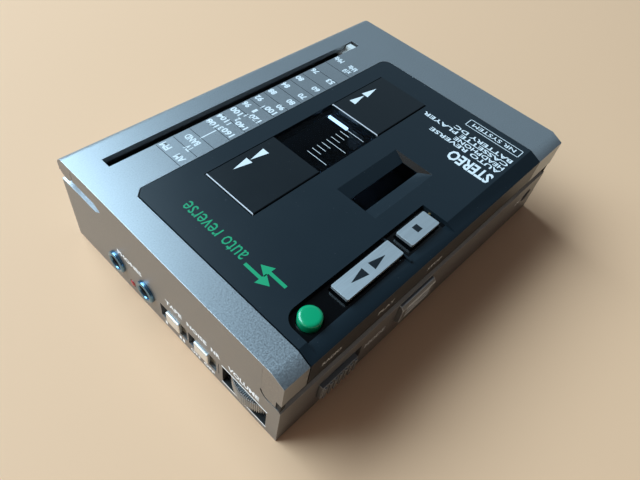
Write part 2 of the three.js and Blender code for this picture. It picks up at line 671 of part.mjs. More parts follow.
function fingerOpening() {
  const bottom = [fingerX[0] + 0.5, fingerX[1] - 1.2, fingerY[0] + 3.9, fingerY[1] - 3.9];
  const corners = [];
  for (const [x0, x1, y0, y1, z] of [[...fingerX, ...fingerY, LID_TOP], [...bottom, lidUnder + 0.2]]) {
    for (const x of [x0, x1]) {
      for (const y of [y0, y1]) corners.push(new THREE.Vector3(x, y, z));
    }
  }
  return [
    new ConvexGeometry(corners),
    box(...fingerX, ...fingerY, LID_TOP - 0.01, LID_TOP + 1),
    box(bottom[0], bottom[1], bottom[2], bottom[3], lidUnder - 1, lidUnder + 0.21),
  ];
}

function lidPanel() {
  const section = barX(lidSection(panelRear), panelLeft, panelRight);
  const skin = common(section, slab(panelPlan(0), LID_HEM - 1, LID_TOP + 1));
  const tub = box(panelLeft + 1, stopX + STOP_LENGTH / 2 + 3.4, front + LID_SKIN - 0.3, front + 12.85,
    tubBottom, lidUnder + 0.2);
  const ridgeX = stopX - STOP_LENGTH / 2 - 2.95;
  const ridge = box(ridgeX - 0.3, ridgeX + 0.3, front + 2.6, front + 11.9, troughFloor - 0.3,
    troughFloor + 0.6);
  const keyHoles = Object.values(keyXs).map(([x, length]) => box(x - length / 2 - GAP, x + length / 2 + GAP,
    keyY - KEY_WIDTH / 2 - GAP, keyY + KEY_WIDTH / 2 + GAP, tubBottom - 1, LID_TOP));
  return cut(
    join(cut(join(skin, tub), trough()), ridge),
    ...keyHoles,
    rodZ(BUTTON_R + GAP, tubBottom - 1, LID_TOP, buttonX, buttonY, 24),
    box(windingLeft, windingRight, windingFront, windingRear, lidUnder - 1, LID_TOP + 1),
    ...fingerOpening(),
  );
}

place('lid_panel', lidPanel(), black);

const windowLeft = WINDOW_CENTRE_X - WINDOW_LENGTH / 2;
const windowRight = WINDOW_CENTRE_X + WINDOW_LENGTH / 2;

function innerPlate() {
  const half = right - WALL - 1.1;
  const under = innerPlateBottom - 1;
  const over = innerPlateTop + 1;
  return cut(
    box(-half, half, front + 13.35, rear - 14.05, innerPlateBottom, innerPlateTop),
    box(windingLeft - GAP, windowLeft - 0.8, windingFront - GAP, windingRear + GAP, under, over),
    box(windowRight + 0.8, windingRight + GAP, windingFront - GAP, windingRear + GAP, under, over),
    box(windowLeft + 1.5, windowRight - 0.9, windingFront + 1.7, windingRear - 1.5, under, over),
    box(fingerX[0] - 0.3, fingerX[1] + 0.3, fingerY[0] + 2.6, fingerY[1] - 2.6, under, over),
  );
}

place('lid_inner_plate', innerPlate(), darkPlastic);
place('tape_window', box(windowLeft, windowRight, windingFront + GAP, windingRear - GAP, lidUnder + 0.05,
  lidUnder + 0.9), smoked);
place('direction_flag', box(-1.05, 1.05, -3.7, 3.7, innerPlateBottom + 0.1, innerPlateTop - 0.1), white,
  windowRight - 2.4, WINDING_CENTRE_Y + 3.55, 0);

// Winding keys: each pivots at its edge beside the window

function windingKey(x0, x1) {
  const top = LID_TOP + KEY_PROUD;
  const ends = [windingFront + GAP, windingRear - GAP];
  return barX(outline([[ends[0], lidUnder + 0.5], [ends[1], lidUnder + 0.5], [ends[1], top - 0.2],
    [ends[1] - 0.2, top], [ends[0] + 0.2, top], [ends[0], top - 0.2]]), x0, x1);
}

place('rewind_key', windingKey(windingLeft + GAP, windowLeft - GAP), black);
place('forward_key', windingKey(windowRight + GAP, windingRight - GAP), black);

// Play and stop keys with metal caps, and the round green button

for (const [name, [x, length]] of Object.entries(keyXs)) {
  const half = length / 2;
  const halfWidth = KEY_WIDTH / 2;
  const capBottom = LID_TOP + 0.4 - CAP_THICKNESS;
  place(`${name}_key`, box(-half + CAP_LAP, half - CAP_LAP, -halfWidth + CAP_LAP, halfWidth - CAP_LAP,
    tubBottom - 0.7, capBottom - 0.05), darkPlastic, x, keyY, 0);
  place(`${name}_key_cap`, slab(roundedRect(-half, half, -halfWidth, halfWidth, 0.4), capBottom,
    capBottom + CAP_THICKNESS, 2), keyMetal, x, keyY, 0);
}

const buttonTop = LID_TOP + BUTTON_PROUD;
const button = turned([[0, tubBottom - 0.7], [BUTTON_R, tubBottom - 0.7], [BUTTON_R, buttonTop - 0.5],
  [BUTTON_R - 0.15, buttonTop - 0.15], [BUTTON_R - 0.5, buttonTop], [0, buttonTop]], 24);
place('green_button', button, green, buttonX, buttonY, 0);

// Dial pointer on its rail, the lid's catch and the two springs that hold the cassette down

const pointer = cut(
  join(
    box(-3.6, 3.6, -3.1, 3.1, lidUnder - 1.6, lidUnder - 0.25),
    box(-1.1, 1.1, -1.35, 1.35, lidUnder - 0.5, LID_TOP - 0.4),
  ),
  rodX(holeR(0.6), -5, 5, 0, railZ));
place('dial_pointer', pointer, white, slotEnds[1] - 2.1, railY, 0);
place('pointer_rail', rodX(0.6, left + 2.3, right - 2.3, 0, 0), steel, 0, railY, railZ);
const catchHalf = CATCH_LENGTH / 2;
const lidCatch = join(
  box(-catchHalf, catchHalf, front + 3.35, front + 4.2, DECK_TOP + GAP, tubBottom - 0.2),
  box(-catchHalf - 0.8, catchHalf + 0.8, front + 2.9, front + 4.5, tubBottom - 1.2, tubBottom - 0.2),
);
place('lid_catch', lidCatch, steel, latchX, 0, 0);

function holdSpring() {
  const reach = 12;
  const sag = 1.2;
  const radius = (reach * reach + sag * sag) / (2 * sag);
  const half = Math.asin(reach / radius);
  const middleZ = innerPlateBottom - 0.25 - sag + radius;
  const shape = new THREE.Shape();
  shape.absarc(0, middleZ, radius, -Math.PI / 2 - half, -Math.PI / 2 + half);
  shape.absarc(0, middleZ, radius - 0.25, -Math.PI / 2 + half, -Math.PI / 2 - half, true);
  return barX(shape, -3, 3, 10);
}

place('hold_spring_left', holdSpring(), brass, -HOLD_SPRING_X, HOLD_SPRING_Y, 0);
place('hold_spring_right', holdSpring(), brass, HOLD_SPRING_X, HOLD_SPRING_Y, 0);

export default group;
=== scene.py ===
import math

import bmesh
import bpy
from mathutils import Matrix, Vector


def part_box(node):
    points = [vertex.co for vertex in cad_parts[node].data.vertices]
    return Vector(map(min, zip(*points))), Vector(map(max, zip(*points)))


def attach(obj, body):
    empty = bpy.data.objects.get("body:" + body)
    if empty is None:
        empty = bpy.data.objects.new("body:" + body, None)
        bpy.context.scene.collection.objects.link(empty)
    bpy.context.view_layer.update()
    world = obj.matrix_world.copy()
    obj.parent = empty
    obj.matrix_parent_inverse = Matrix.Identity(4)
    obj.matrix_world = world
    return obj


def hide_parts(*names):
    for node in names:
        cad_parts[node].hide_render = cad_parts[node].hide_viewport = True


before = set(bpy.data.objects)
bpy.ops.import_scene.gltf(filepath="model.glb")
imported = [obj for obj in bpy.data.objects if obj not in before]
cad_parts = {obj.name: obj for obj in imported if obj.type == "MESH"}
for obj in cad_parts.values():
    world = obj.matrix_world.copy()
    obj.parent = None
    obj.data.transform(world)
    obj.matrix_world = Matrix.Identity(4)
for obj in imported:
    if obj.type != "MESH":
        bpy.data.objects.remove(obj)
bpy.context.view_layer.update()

# Table, light and camera. A plain warm table top under a broad bluish window light that comes
# from behind the hinge side, with a weak fill so that the latch side stays in shade.
MM = 0.001
scene = bpy.context.scene
scene.view_settings.view_transform = "Standard"


def new_material(name, color, roughness, metallic=0.0):
    material = bpy.data.materials.new(name)
    material.use_nodes = True
    shader = material.node_tree.nodes["Principled BSDF"]
    shader.inputs["Base Color"].default_value = (*color, 1)
    shader.inputs["Roughness"].default_value = roughness
    shader.inputs["Metallic"].default_value = metallic
    return material, shader


def link_object(name, data):
    made = bpy.data.objects.new(name, data)
    scene.collection.objects.link(made)
    return made


table_mesh = bpy.data.meshes.new("table_top")
table = bmesh.new()
bmesh.ops.create_grid(table, x_segments=1, y_segments=1, size=3)
table.to_mesh(table_mesh)
table.free()
table_mesh.materials.append(new_material("table_top", (0.94, 0.55, 0.32), 0.75)[0])
link_object("table_top", table_mesh)


def window_light(name, place, size, power, color):
    lamp = bpy.data.lights.new(name, "AREA")
    lamp.shape = "RECTANGLE"
    lamp.size, lamp.size_y = size
    lamp.energy = power
    lamp.color = color
    made = link_object(name, lamp)
    made.location = place
    made.rotation_euler = Vector(place).to_track_quat("Z", "Y").to_euler()


window_light("window", (-0.55, 1.37, 1.42), (2.1, 1.3), 82, (0.58, 0.82, 1.0))
window_light("near_wall", (-1.3, 0.1, 0.55), (1.1, 1.1), 2.5, (1.0, 0.92, 0.82))
window_light("far_wall", (1.3, 0.45, 0.85), (1.5, 1.0), 1.3, (0.62, 0.85, 1.0))

world = bpy.data.worlds.new("room")
scene.world = world
world.use_nodes = True
world.node_tree.nodes["Background"].inputs["Color"].default_value = (0.80, 0.87, 1.0, 1)
world.node_tree.nodes["Background"].inputs["Strength"].default_value = 0.07

camera_place = Vector((-0.0928, -0.0667, 0.1278))
camera_aim = Vector((0.5211, 0.3700, -0.7691))
CAMERA_ROLL = math.radians(11.2)
camera_data = bpy.data.cameras.new("camera")
camera_data.sensor_width = 36
camera_data.lens = 30.48
camera_data.clip_start = 0.005
camera = link_object("camera", camera_data)
turn = camera_aim.to_track_quat("-Z", "Y").to_matrix().to_4x4() @ Matrix.Rotation(CAMERA_ROLL, 4, "Z")
camera.matrix_world = Matrix.Translation(camera_place) @ turn
scene.camera = camera

# Lower case: an injection-moulded ABS tray, sprayed with a fine grey metallic paint that has
# rubbed bright along its arrises. Four screws from below and two hinge pins hold the rest to it.
ARRIS = 0.28 * MM
SHARP = math.radians(32)


def group_socket(tree, name, kind, value=None, way="INPUT"):
    socket = tree.interface.new_socket(name, in_out=way, socket_type=kind)
    if value is not None:
        socket.default_value = value


def new_group(name, inputs, outputs):
    tree = bpy.data.node_groups.new(name, "ShaderNodeTree")
    for label, kind, value in inputs:
        group_socket(tree, label, kind, value)
    for label, kind in outputs:
        group_socket(tree, label, kind, way="OUTPUT")
    return tree, tree.nodes.new("NodeGroupInput"), tree.nodes.new("NodeGroupOutput")


def math_node(tree, operation, a, b, clamp=False):
    node = tree.nodes.new("ShaderNodeMath")
    node.operation = operation
    node.use_clamp = clamp
    for socket, value in zip(node.inputs, (a, b)):
        if isinstance(value, (int, float)):
            socket.default_value = value
        else:
            tree.links.new(value, socket)
    return node.outputs[0]


def noise_node(tree, coords, scale, detail=2.0, rough=0.5):
    node = tree.nodes.new("ShaderNodeTexNoise")
    tree.links.new(coords, node.inputs["Vector"])
    if isinstance(scale, (int, float)):
        node.inputs["Scale"].default_value = scale
    else:
        tree.links.new(scale, node.inputs["Scale"])
    node.inputs["Detail"].default_value = detail
    node.inputs["Roughness"].default_value = rough
    return node.outputs["Fac"]


def color_mix(tree, factor, a, b):
    node = tree.nodes.new("ShaderNodeMix")
    node.data_type = "RGBA"
    for socket, value in ((node.inputs["Factor"], factor), (node.inputs["A"], a), (node.inputs["B"], b)):
        if isinstance(value, (int, float, tuple)):
            socket.default_value = value
        else:
            tree.links.new(value, socket)
    return node.outputs["Result"]


# Grain, smudges and specks of dust on any plain finish
def make_handled_group():
    tree, given, out = new_group(
        "handled_surface",
        [("Color", "NodeSocketColor", (0.5, 0.5, 0.5, 1)), ("Roughness", "NodeSocketFloat", 0.5),
         ("Grain Scale", "NodeSocketFloat", 6000.0), ("Grain", "NodeSocketFloat", 0.1),
         ("Smudge", "NodeSocketFloat", 0.1), ("Dust", "NodeSocketFloat", 0.0)],
        [("Color", "NodeSocketColor"), ("Roughness", "NodeSocketFloat"), ("Height", "NodeSocketFloat")])
    coords = tree.nodes.new("ShaderNodeTexCoord").outputs["Object"]

    def swing(noise, amount):
        return math_node(tree, "MULTIPLY", math_node(tree, "SUBTRACT", noise, 0.5), given.outputs[amount])

    grain = noise_node(tree, coords, given.outputs["Grain Scale"], 2.0, 0.6)
    grain_step = swing(grain, "Grain")
    smudge = noise_node(tree, coords, 70.0, 4.0, 0.6)
    smudge_step = swing(smudge, "Smudge")
    specks = noise_node(tree, coords, 2600.0, 1.0, 0.4)
    speck_mask = math_node(tree, "MULTIPLY", math_node(tree, "SUBTRACT", specks, 0.79), 18.0, True)
    dust = math_node(tree, "MULTIPLY", speck_mask, given.outputs["Dust"], True)
    light = math_node(tree, "ADD", 1.0, math_node(tree, "ADD", grain_step, smudge_step))
    scaled = tree.nodes.new("ShaderNodeVectorMath")
    scaled.operation = "SCALE"
    tree.links.new(given.outputs["Color"], scaled.inputs[0])
    tree.links.new(light, scaled.inputs["Scale"])
    dusted = color_mix(tree, dust, scaled.outputs[0], (0.42, 0.43, 0.44, 1))
    tree.links.new(dusted, out.inputs["Color"])
    rough = math_node(tree, "ADD", given.outputs["Roughness"], math_node(tree, "ADD", smudge_step, dust))
    tree.links.new(math_node(tree, "ADD", rough, grain_step, True), out.inputs["Roughness"])
    tree.links.new(math_node(tree, "ADD", grain, dust), out.inputs["Height"])
    return tree


# A mask over the rounded arrises that the "edge" attribute marks, broken up by noise. It carries real wear on
# arrises, and a painted highlight on the other faces that are marked
def make_wear_and_highlight_group():
    tree, given, out = new_group(
        "edge_wear_and_highlight", [("Amount", "NodeSocketFloat", 0.5)], [("Mask", "NodeSocketFloat")])
    coords = tree.nodes.new("ShaderNodeTexCoord").outputs["Object"]
    edge = tree.nodes.new("ShaderNodeAttribute")
    edge.attribute_name = "edge"
    wear_and_highlight = noise_node(tree, coords, 260.0, 5.0, 0.7)
    lifted = math_node(tree, "ADD", math_node(tree, "SUBTRACT", wear_and_highlight, 1.0), given.outputs["Amount"])
    patch = math_node(tree, "MULTIPLY", lifted, 6.0, True)
    tree.links.new(math_node(tree, "MULTIPLY", patch, edge.outputs["Fac"], True), out.inputs["Mask"])
    return tree


handled_surface = make_handled_group()
edge_wear_and_highlight = make_wear_and_highlight_group()


def finished(name, color, roughness, metallic=0.0, grain=0.1, grain_scale=6000.0, smudge=0.1, dust=0.0,
             relief=0.0, wear_and_highlight=0.0, wear_and_highlight_color=(0.6, 0.6, 0.6), coat=0.0):
    material, shader = new_material(name, color, roughness, metallic)
    tree = material.node_tree
    surface = tree.nodes.new("ShaderNodeGroup")
    surface.node_tree = handled_surface
    surface.inputs["Color"].default_value = (*color, 1)
    for label, value in (("Roughness", roughness), ("Grain Scale", grain_scale), ("Grain", grain),
                         ("Smudge", smudge), ("Dust", dust)):
        surface.inputs[label].default_value = value
    tint = surface.outputs["Color"]
    # A lighter colour mixes in through the mask: real wear on arrises, and painted highlights on the groove
    # floors, the rolled lid edge and the winding keys' near edges
    if wear_and_highlight:
        wear_and_highlight_mask = tree.nodes.new("ShaderNodeGroup")
        wear_and_highlight_mask.node_tree = edge_wear_and_highlight
        wear_and_highlight_mask.inputs["Amount"].default_value = wear_and_highlight
        tint = color_mix(tree, wear_and_highlight_mask.outputs["Mask"], tint, (*wear_and_highlight_color, 1))
    tree.links.new(tint, shader.inputs["Base Color"])
    tree.links.new(surface.outputs["Roughness"], shader.inputs["Roughness"])
    if relief:
        bump = tree.nodes.new("ShaderNodeBump")
        bump.inputs["Strength"].default_value = relief
        bump.inputs["Distance"].default_value = 0.02 * MM
        tree.links.new(surface.outputs["Height"], bump.inputs["Height"])
        tree.links.new(bump.outputs["Normal"], shader.inputs["Normal"])
    shader.inputs["Coat Weight"].default_value = coat
    return material


# A copy of a moulded or pressed shape with its loose triangles merged
def merged(node):
    bm = bmesh.new()
    bm.from_mesh(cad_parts[node].data)
    bmesh.ops.remove_doubles(bm, verts=bm.verts, dist=1e-6)
    bmesh.ops.dissolve_limit(bm, angle_limit=math.radians(0.5), verts=bm.verts, edges=bm.edges)
    return bm


# Writes 1 to an attribute on the faces that picked chooses, and 0 on the others
def mark_faces(bm, attribute, picked):
    layer = bm.loops.layers.float_color.new(attribute)
    for face in bm.faces:
        shade = (1, 1, 1, 1) if picked(face) else (0, 0, 0, 1)
        for loop in face.loops:
            loop[layer] = shade


# Adds faces to those that an attribute marks already
def mark_more_faces(bm, attribute, picked):
    layer = bm.loops.layers.float_color[attribute]
    for face in bm.faces:
        if picked(face):
            for loop in face.loops:
                loop[layer] = (1, 1, 1, 1)


# Rounds the arrises of bm, or of a fresh copy of a node, and marks them for wear
def softened(node, radius, segments=2, bm=None, crisp=lambda edge: False):
    bm = bm or merged(node)
    corners = [e for e in bm.edges
               if len(e.link_faces) == 2 and e.calc_face_angle(0) > SHARP and not crisp(e)]
    rounded = bmesh.ops.bevel(bm, geom=corners, offset=radius, offset_type="OFFSET", segments=segments,
                              profile=0.5, affect="EDGES", material=-1, clamp_overlap=True)
    arris_faces = set(rounded["faces"])
    mark_faces(bm, "edge", lambda face: face in arris_faces)
    return bm


def piece(name, bm, material, body, nodes):
    mesh = bpy.data.meshes.new(name)
    bm.to_mesh(mesh)
    bm.free()
    mesh.materials.append(material)
    mesh.shade_smooth()
    mesh.set_sharp_from_angle(angle=SHARP)
    made = link_object(name, mesh)
    weighted = made.modifiers.new("weighted", "WEIGHTED_NORMAL")
    weighted.keep_sharp = True
    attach(made, body)
    if nodes:
        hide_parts(*nodes)
    return made


case_paint = finished("case_paint", (0.29, 0.29, 0.295), 0.44, 0.75, grain=0.5, grain_scale=2800.0,
                      smudge=0.04, relief=0.14, wear_and_highlight=0.7, wear_and_highlight_color=(0.72, 0.75, 0.78))
case_low, case_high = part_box("lower_case")
centre = Vector(((case_low.x + case_high.x) / 2, (case_low.y + case_high.y) / 2, 0))
CLOSE_FIT = 0.27 * MM
RIM_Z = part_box("lid_inner_plate")[0].z + 0.7 * MM
STEP_R = 2.4 * MM
STEP_Z = 16.7 * MM
step_axis = Vector((0, case_low.y + 3.85 * MM, STEP_Z + STEP_R))


# The lid shuts down tightly on the rim, while a dark line shows round the step's curve
def closed_up(bm):
    for vert in bm.verts:
        if abs(vert.co.z - RIM_Z) < 0.05 * MM:
            vert.co.z += CLOSE_FIT
        spoke = Vector((0, vert.co.y, vert.co.z)) - step_axis
        if abs(spoke.length - STEP_R) < 0.06 * MM and spoke.y > -0.01 * MM and spoke.z < -0.2 * MM:
            vert.co += spoke.normalized() * CLOSE_FIT
    return bm


def on_seam(edge):
    rim = all(abs(v.co.z - RIM_Z - CLOSE_FIT) < 0.05 * MM for v in edge.verts)
    return rim or all(abs(v.co.y - step_axis.y - STEP_R) < 0.05 * MM for v in edge.verts)


case_shell = softened("lower_case", ARRIS, 2, closed_up(merged("lower_case")), on_seam)
GROOVE_DEPTH = 4 * MM
GROOVE_HEIGHTS = (21.8 * MM, 25.6 * MM)
GROOVE_FRONT = 20 * MM


# The floor of the groove at each end of the hinge, given a painted highlight in the lighter edge colour
def in_groove(face):
    at = face.calc_center_median()
    beside_end = min(at.x - case_low.x, case_high.x - at.x) < GROOVE_DEPTH
    level = GROOVE_HEIGHTS[0] < at.z < GROOVE_HEIGHTS[1]
    return beside_end and level and at.y > GROOVE_FRONT and face.normal.z > 0.3


# The upward faces of the hinge grooves get a painted highlight
mark_more_faces(case_shell, "edge", in_groove)
piece("case_lower", case_shell, case_paint, "root", ["lower_case"])

# Hinge pins and case screws: short steel pins pressed through the ears of the case, and
# zinc-plated screws sunk in counterbores in its floor.
zinc = finished("zinc_steel", (0.55, 0.56, 0.58), 0.34, 0.95, grain=0.12, smudge=0.2)


# A round piece: (radius, height) points turned about a line through place along axis
def spun(profile, place, axis=(0, 0, 1), steps=64):
    bm = bmesh.new()
    points = [bm.verts.new((r * MM, 0, z * MM)) for r, z in profile]
    edges = [bm.edges.new(pair) for pair in zip(points, points[1:])]
    bmesh.ops.spin(bm, geom=points + edges, cent=(0, 0, 0), axis=(0, 0, 1), angle=math.tau, steps=steps,
                   use_merge=True)
    bmesh.ops.remove_doubles(bm, verts=bm.verts, dist=1e-7)
    bmesh.ops.recalc_face_normals(bm, faces=bm.faces)
    lean = Vector(axis).to_track_quat("Z", "Y").to_matrix().to_4x4()
    bmesh.ops.transform(bm, matrix=Matrix.Translation(place) @ lean, verts=bm.verts)
    return bm


def middle(node):
    low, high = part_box(node)
    return (low + high) / 2


def span(node):
    low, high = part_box(node)
    return (high - low) / MM


for side in ("left", "right"):
    node = f"hinge_pin_{side}"
    half = span(node).x / 2
    pin = spun([(0, -half), (0.55, -half), (0.69, -half + 0.15), (0.69, half - 0.15), (0.55, half),
                (0, half)], middle(node), axis=(1, 0, 0), steps=32)
    piece(f"pin_{side}", pin, zinc, "root", [node])

for number in range(1, 5):
    node = f"case_screw_{number}"
    low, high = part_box(node)
    foot = Vector((middle(node).x, middle(node).y, low.z))
    top = (high.z - low.z) / MM
    screw = spun([(0, 0.62), (0.25, 0.62), (0.5, 0.1), (1.35, 0.02), (1.65, 0.3), (1.65, 0.8), (0.85, 0.8),
                  (0.85, top), (0, top)], foot, steps=40)
    piece(f"screw_{number}", screw, zinc, "root", [node])

# Deck plate: the black moulded floor of the cassette well. Under it a pressed steel chassis
# carries the drive, and a lacquered circuit board lies on the floor of the case.
FINE_ARRIS = 0.12 * MM
dark_moulding = finished("dark_moulding", (0.016, 0.017, 0.019), 0.5, grain=0.4, grain_scale=3500.0,
                         smudge=0.25, dust=0.35, relief=0.3)
board_lacquer = finished("board_lacquer", (0.02, 0.11, 0.035), 0.3, grain=0.3, grain_scale=400.0, smudge=0.3)
brass_turned = finished("turned_brass", (0.62, 0.44, 0.18), 0.32, 1.0, grain=0.15, smudge=0.2)
matt_rubber = finished("matt_rubber", (0.014, 0.014, 0.014), 0.75, grain=0.3, smudge=0.3)
white_moulding = finished("white_moulding", (0.78, 0.78, 0.75), 0.42, grain=0.05, smudge=0.08)

piece("deck", softened("deck_plate", FINE_ARRIS), dark_moulding, "root", ["deck_plate"])
piece("chassis", softened("chassis_plate", FINE_ARRIS), zinc, "root", ["chassis_plate"])
piece("board", softened("circuit_board", FINE_ARRIS), board_lacquer, "root", ["circuit_board"])
piece("belt", softened("drive_belt", 0.08 * MM), matt_rubber, "root", ["drive_belt"])

motor_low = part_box("drive_motor")[0].z
motor = spun([(0.9, 0), (10.2, 0), (10.8, 0.25), (11, 0.8), (11, 5.6), (10.8, 6.15), (10.2, 6.4), (3, 6.4),
              (3, 6.1), (0.9, 6.1), (0.9, 0)], Vector((middle("drive_motor").x, middle("drive_motor").y,
                                                      motor_low)), steps=80)
piece("motor", motor, zinc, "root", ["drive_motor"])


def upright(node):
    low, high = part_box(node)
    return Vector(((low.x + high.x) / 2, (low.y + high.y) / 2, low.z))


pulley = spun([(0, 0), (3.2, 0), (3.4, 0.15), (2.6, 0.7), (2.6, 1.7), (3.4, 2.15), (3.2, 2.3), (0.7, 2.3),
               (0.7, 5.5), (0, 5.5)], upright("motor_pulley"), steps=48)
piece("pulley", pulley, brass_turned, "motor_pulley", ["motor_pulley"])

SPLINES = 3
SPLINE_PLACE = Vector((1.85, 0, 11)) * MM
SPLINE_SIZE = Vector((2.7, 0.75, 5.4)) * MM
for side in ("left", "right"):
    wheel = spun([(0, 0), (0.9, 0), (1, 0.1), (1, 0.6), (11.8, 0.6), (12, 0.8), (12, 3), (11.8, 3.2),
                  (10, 3.2), (9.7, 2.6), (4, 2.6), (3.7, 3.2), (3, 3.2), (3, 4.1), (1, 4.1), (1, 20.2),
                  (0.75, 20.6), (0, 20.6)], upright(f"flywheel_{side}"), steps=96)
    piece(f"capstan_{side}", wheel, brass_turned, f"flywheel_{side}", [f"flywheel_{side}"])
    base = upright(f"spindle_{side}")
    reel = spun([(0, 0), (0.8, 0), (0.9, 0.1), (0.9, 1.8), (7.8, 1.8), (8, 2), (8, 3.1), (7.8, 3.3),
                 (3.4, 3.3), (3.2, 3.5), (3.2, 8.1), (3.05, 8.25), (2.3, 8.25), (2.3, 14.3), (2.1, 14.9),
                 (1.2, 15.8), (0, 15.8)], base, steps=64)
    for spline in range(SPLINES):
        turned = Matrix.Rotation(spline * math.tau / SPLINES, 4, "Z")
        blade = bmesh.ops.create_cube(reel, size=1)["verts"]
        shape = Matrix.Translation(SPLINE_PLACE) @ Matrix.Diagonal((*SPLINE_SIZE, 1))
        bmesh.ops.transform(reel, matrix=Matrix.Translation(base) @ turned @ shape, verts=blade)
    piece(f"reel_{side}", reel, white_moulding, f"spindle_{side}", [f"spindle_{side}"])

# Head plate: a sliding steel pressing that carries the playback head, polished on its tape
# face, and two rubber pinch rollers that turn on pins riveted into it.
piece("head_slide", softened("head_plate", FINE_ARRIS), zinc, "head_plate", ["head_plate"])
polished = finished("polished_steel", (0.66, 0.66, 0.67), 0.16, 1.0, grain=0.05, smudge=0.1)
piece("head_block", softened("playback_head", 0.35 * MM, 3), polished, "head_plate", ["playback_head"])
for side in ("left", "right"):
    node = f"pinch_roller_{side}"
    roller = spun([(0.8, 0), (3.6, 0), (3.95, 0.3), (4, 0.6), (4, 4.9), (3.95, 5.2), (3.6, 5.5), (0.8, 5.5),
                   (0.8, 0)], upright(node), steps=64)
    piece(f"roller_{side}", roller, matt_rubber, node, [node])

# Batteries: two AA cells in line in their bay, a nickel contact at one end and a coil spring
# at the other, closed by a door that slides out along the underside.
wrap = finished("cell_wrap", (0.23, 0.03, 0.02), 0.3, 0.2, grain=0.1, smudge=0.1, coat=0.3)
for number in (1, 2):
    node = f"battery_cell_{number}"
    low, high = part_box(node)
    start = Vector((high.x, middle(node).y, middle(node).z))
    cell = spun([(0, 0), (6.4, 0), (6.8, 0.12), (7.1, 0.6), (7.1, 48.4), (6.9, 48.9), (6.3, 49.2),
                 (2.9, 49.2), (2.7, 49.4), (2.7, 50.1), (2.5, 50.3), (0, 50.3)], start, axis=(-1, 0, 0),
                steps=72)
    piece(f"cell_{number}", cell, wrap, "root", [node])
piece("cell_contact", softened("battery_contact", FINE_ARRIS), zinc, "root", ["battery_contact"])
piece("cell_spring", softened("battery_spring", 0.01 * MM, 1), zinc, "root", ["battery_spring"])
piece("cell_door", softened("battery_door", FINE_ARRIS), case_paint, "battery_door", ["battery_door"])

# Volume wheel: a thumbwheel moulded in grey with a finely knurled rim, on the shaft of a
# potentiometer that is soldered above it.
KNURLS = 104
KNURL_DEPTH = 0.34 * MM
RIM_GAP = 0.02 * MM
RIM_HEIGHT = 3.8 * MM
wheel_low, wheel_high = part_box("volume_wheel")
wheel_r = (wheel_high.x - wheel_low.x) / 2
wheel_centre = upright("volume_wheel")
wheel = bmesh.new()
ring = bmesh.ops.create_circle(wheel, cap_ends=True, radius=wheel_r - RIM_GAP, segments=KNURLS * 4)["verts"]
for index, vert in enumerate(ring):
    if index % 4 in (2, 3):
        vert.co *= (wheel_r - KNURL_DEPTH) / wheel_r
lifted = bmesh.ops.extrude_face_region(wheel, geom=wheel.faces[:])["geom"]
lifted_verts = [v for v in lifted if isinstance(v, bmesh.types.BMVert)]
bmesh.ops.translate(wheel, vec=(0, 0, RIM_HEIGHT), verts=lifted_verts)
for face in [f for f in wheel.faces if len(f.verts) > 4]:
    bmesh.ops.inset_individual(wheel, faces=[face], thickness=0.35 * MM, depth=0.3 * MM)
bmesh.ops.recalc_face_normals(wheel, faces=wheel.faces)
bmesh.ops.transform(wheel, matrix=Matrix.Translation(wheel_centre), verts=wheel.verts)
grey_moulding = finished("grey_moulding", (0.50, 0.51, 0.52), 0.36, 0.6, grain=0.1, smudge=0.2, dust=0.4)
piece("volume_thumbwheel", wheel, grey_moulding, "volume_wheel", ["volume_wheel"])
SLOT_HALF = 7.6 * MM
SLOT_HEIGHTS = (2.2 * MM, 9.9 * MM)
SHADE_STRIP = 0.12 * MM
SHADE_STRIP_REACH = (0.1 * MM, 1.5 * MM)
slot_low = Vector((case_low.x + SHADE_STRIP_REACH[0], wheel_centre.y - SLOT_HALF, SLOT_HEIGHTS[0]))
slot_high = Vector((case_low.x + SHADE_STRIP_REACH[1], wheel_centre.y + SLOT_HALF, SLOT_HEIGHTS[1]))


# A plain block between two corners, added to bm
def brick(bm, low, high):
    made = bmesh.ops.create_cube(bm, size=1)["verts"]
    shape = Matrix.Translation((low + high) / 2) @ Matrix.Diagonal((*(high - low), 1))
    bmesh.ops.transform(bm, matrix=shape, verts=made)


# Black strips on the slot's two ends, floor and roof, a painted shade inside the slot
slot_shade_strips = bmesh.new()
for axis in (1, 2):
    for at_low in (True, False):
        low, high = slot_low.copy(), slot_high.copy()
        if at_low:
            high[axis] = low[axis] + SHADE_STRIP
        else:
            low[axis] = high[axis] - SHADE_STRIP
        brick(slot_shade_strips, low, high)
piece("volume_slot_shade", slot_shade_strips, matt_rubber, "root", [])
piece("volume_control", softened("volume_pot", FINE_ARRIS), dark_moulding, "root", ["volume_pot"])

# Slide switches: a folded steel frame set in each window of the end wall, with a bright
# knob that slides across it. The frame's dark slot shows on both sides of the knob.
bright_metal = finished("bright_metal", (0.86, 0.87, 0.86), 0.38, 0.75, grain=0.08, smudge=0.15)
switch_steel = finished("switch_steel", (0.30, 0.29, 0.24), 0.4, 0.8, grain=0.1, smudge=0.2)
PLATE_THICKNESS = 0.55 * MM
PLATE_HALF = 4.15 * MM
KNOB_STAND = 0.55 * MM


# Cuts off the side of bm that normal points to, and closes the cut
def trimmed(bm, point, normal):
    cut = bmesh.ops.bisect_plane(bm, geom=bm.verts[:] + bm.edges[:] + bm.faces[:], dist=1e-7, plane_co=point,
                                 plane_no=normal, clear_outer=True)["geom_cut"]
    rim = [e for e in cut if isinstance(e, bmesh.types.BMEdge)]
    bmesh.ops.triangle_fill(bm, edges=rim, use_beauty=True, use_dissolve=False)
    return bm


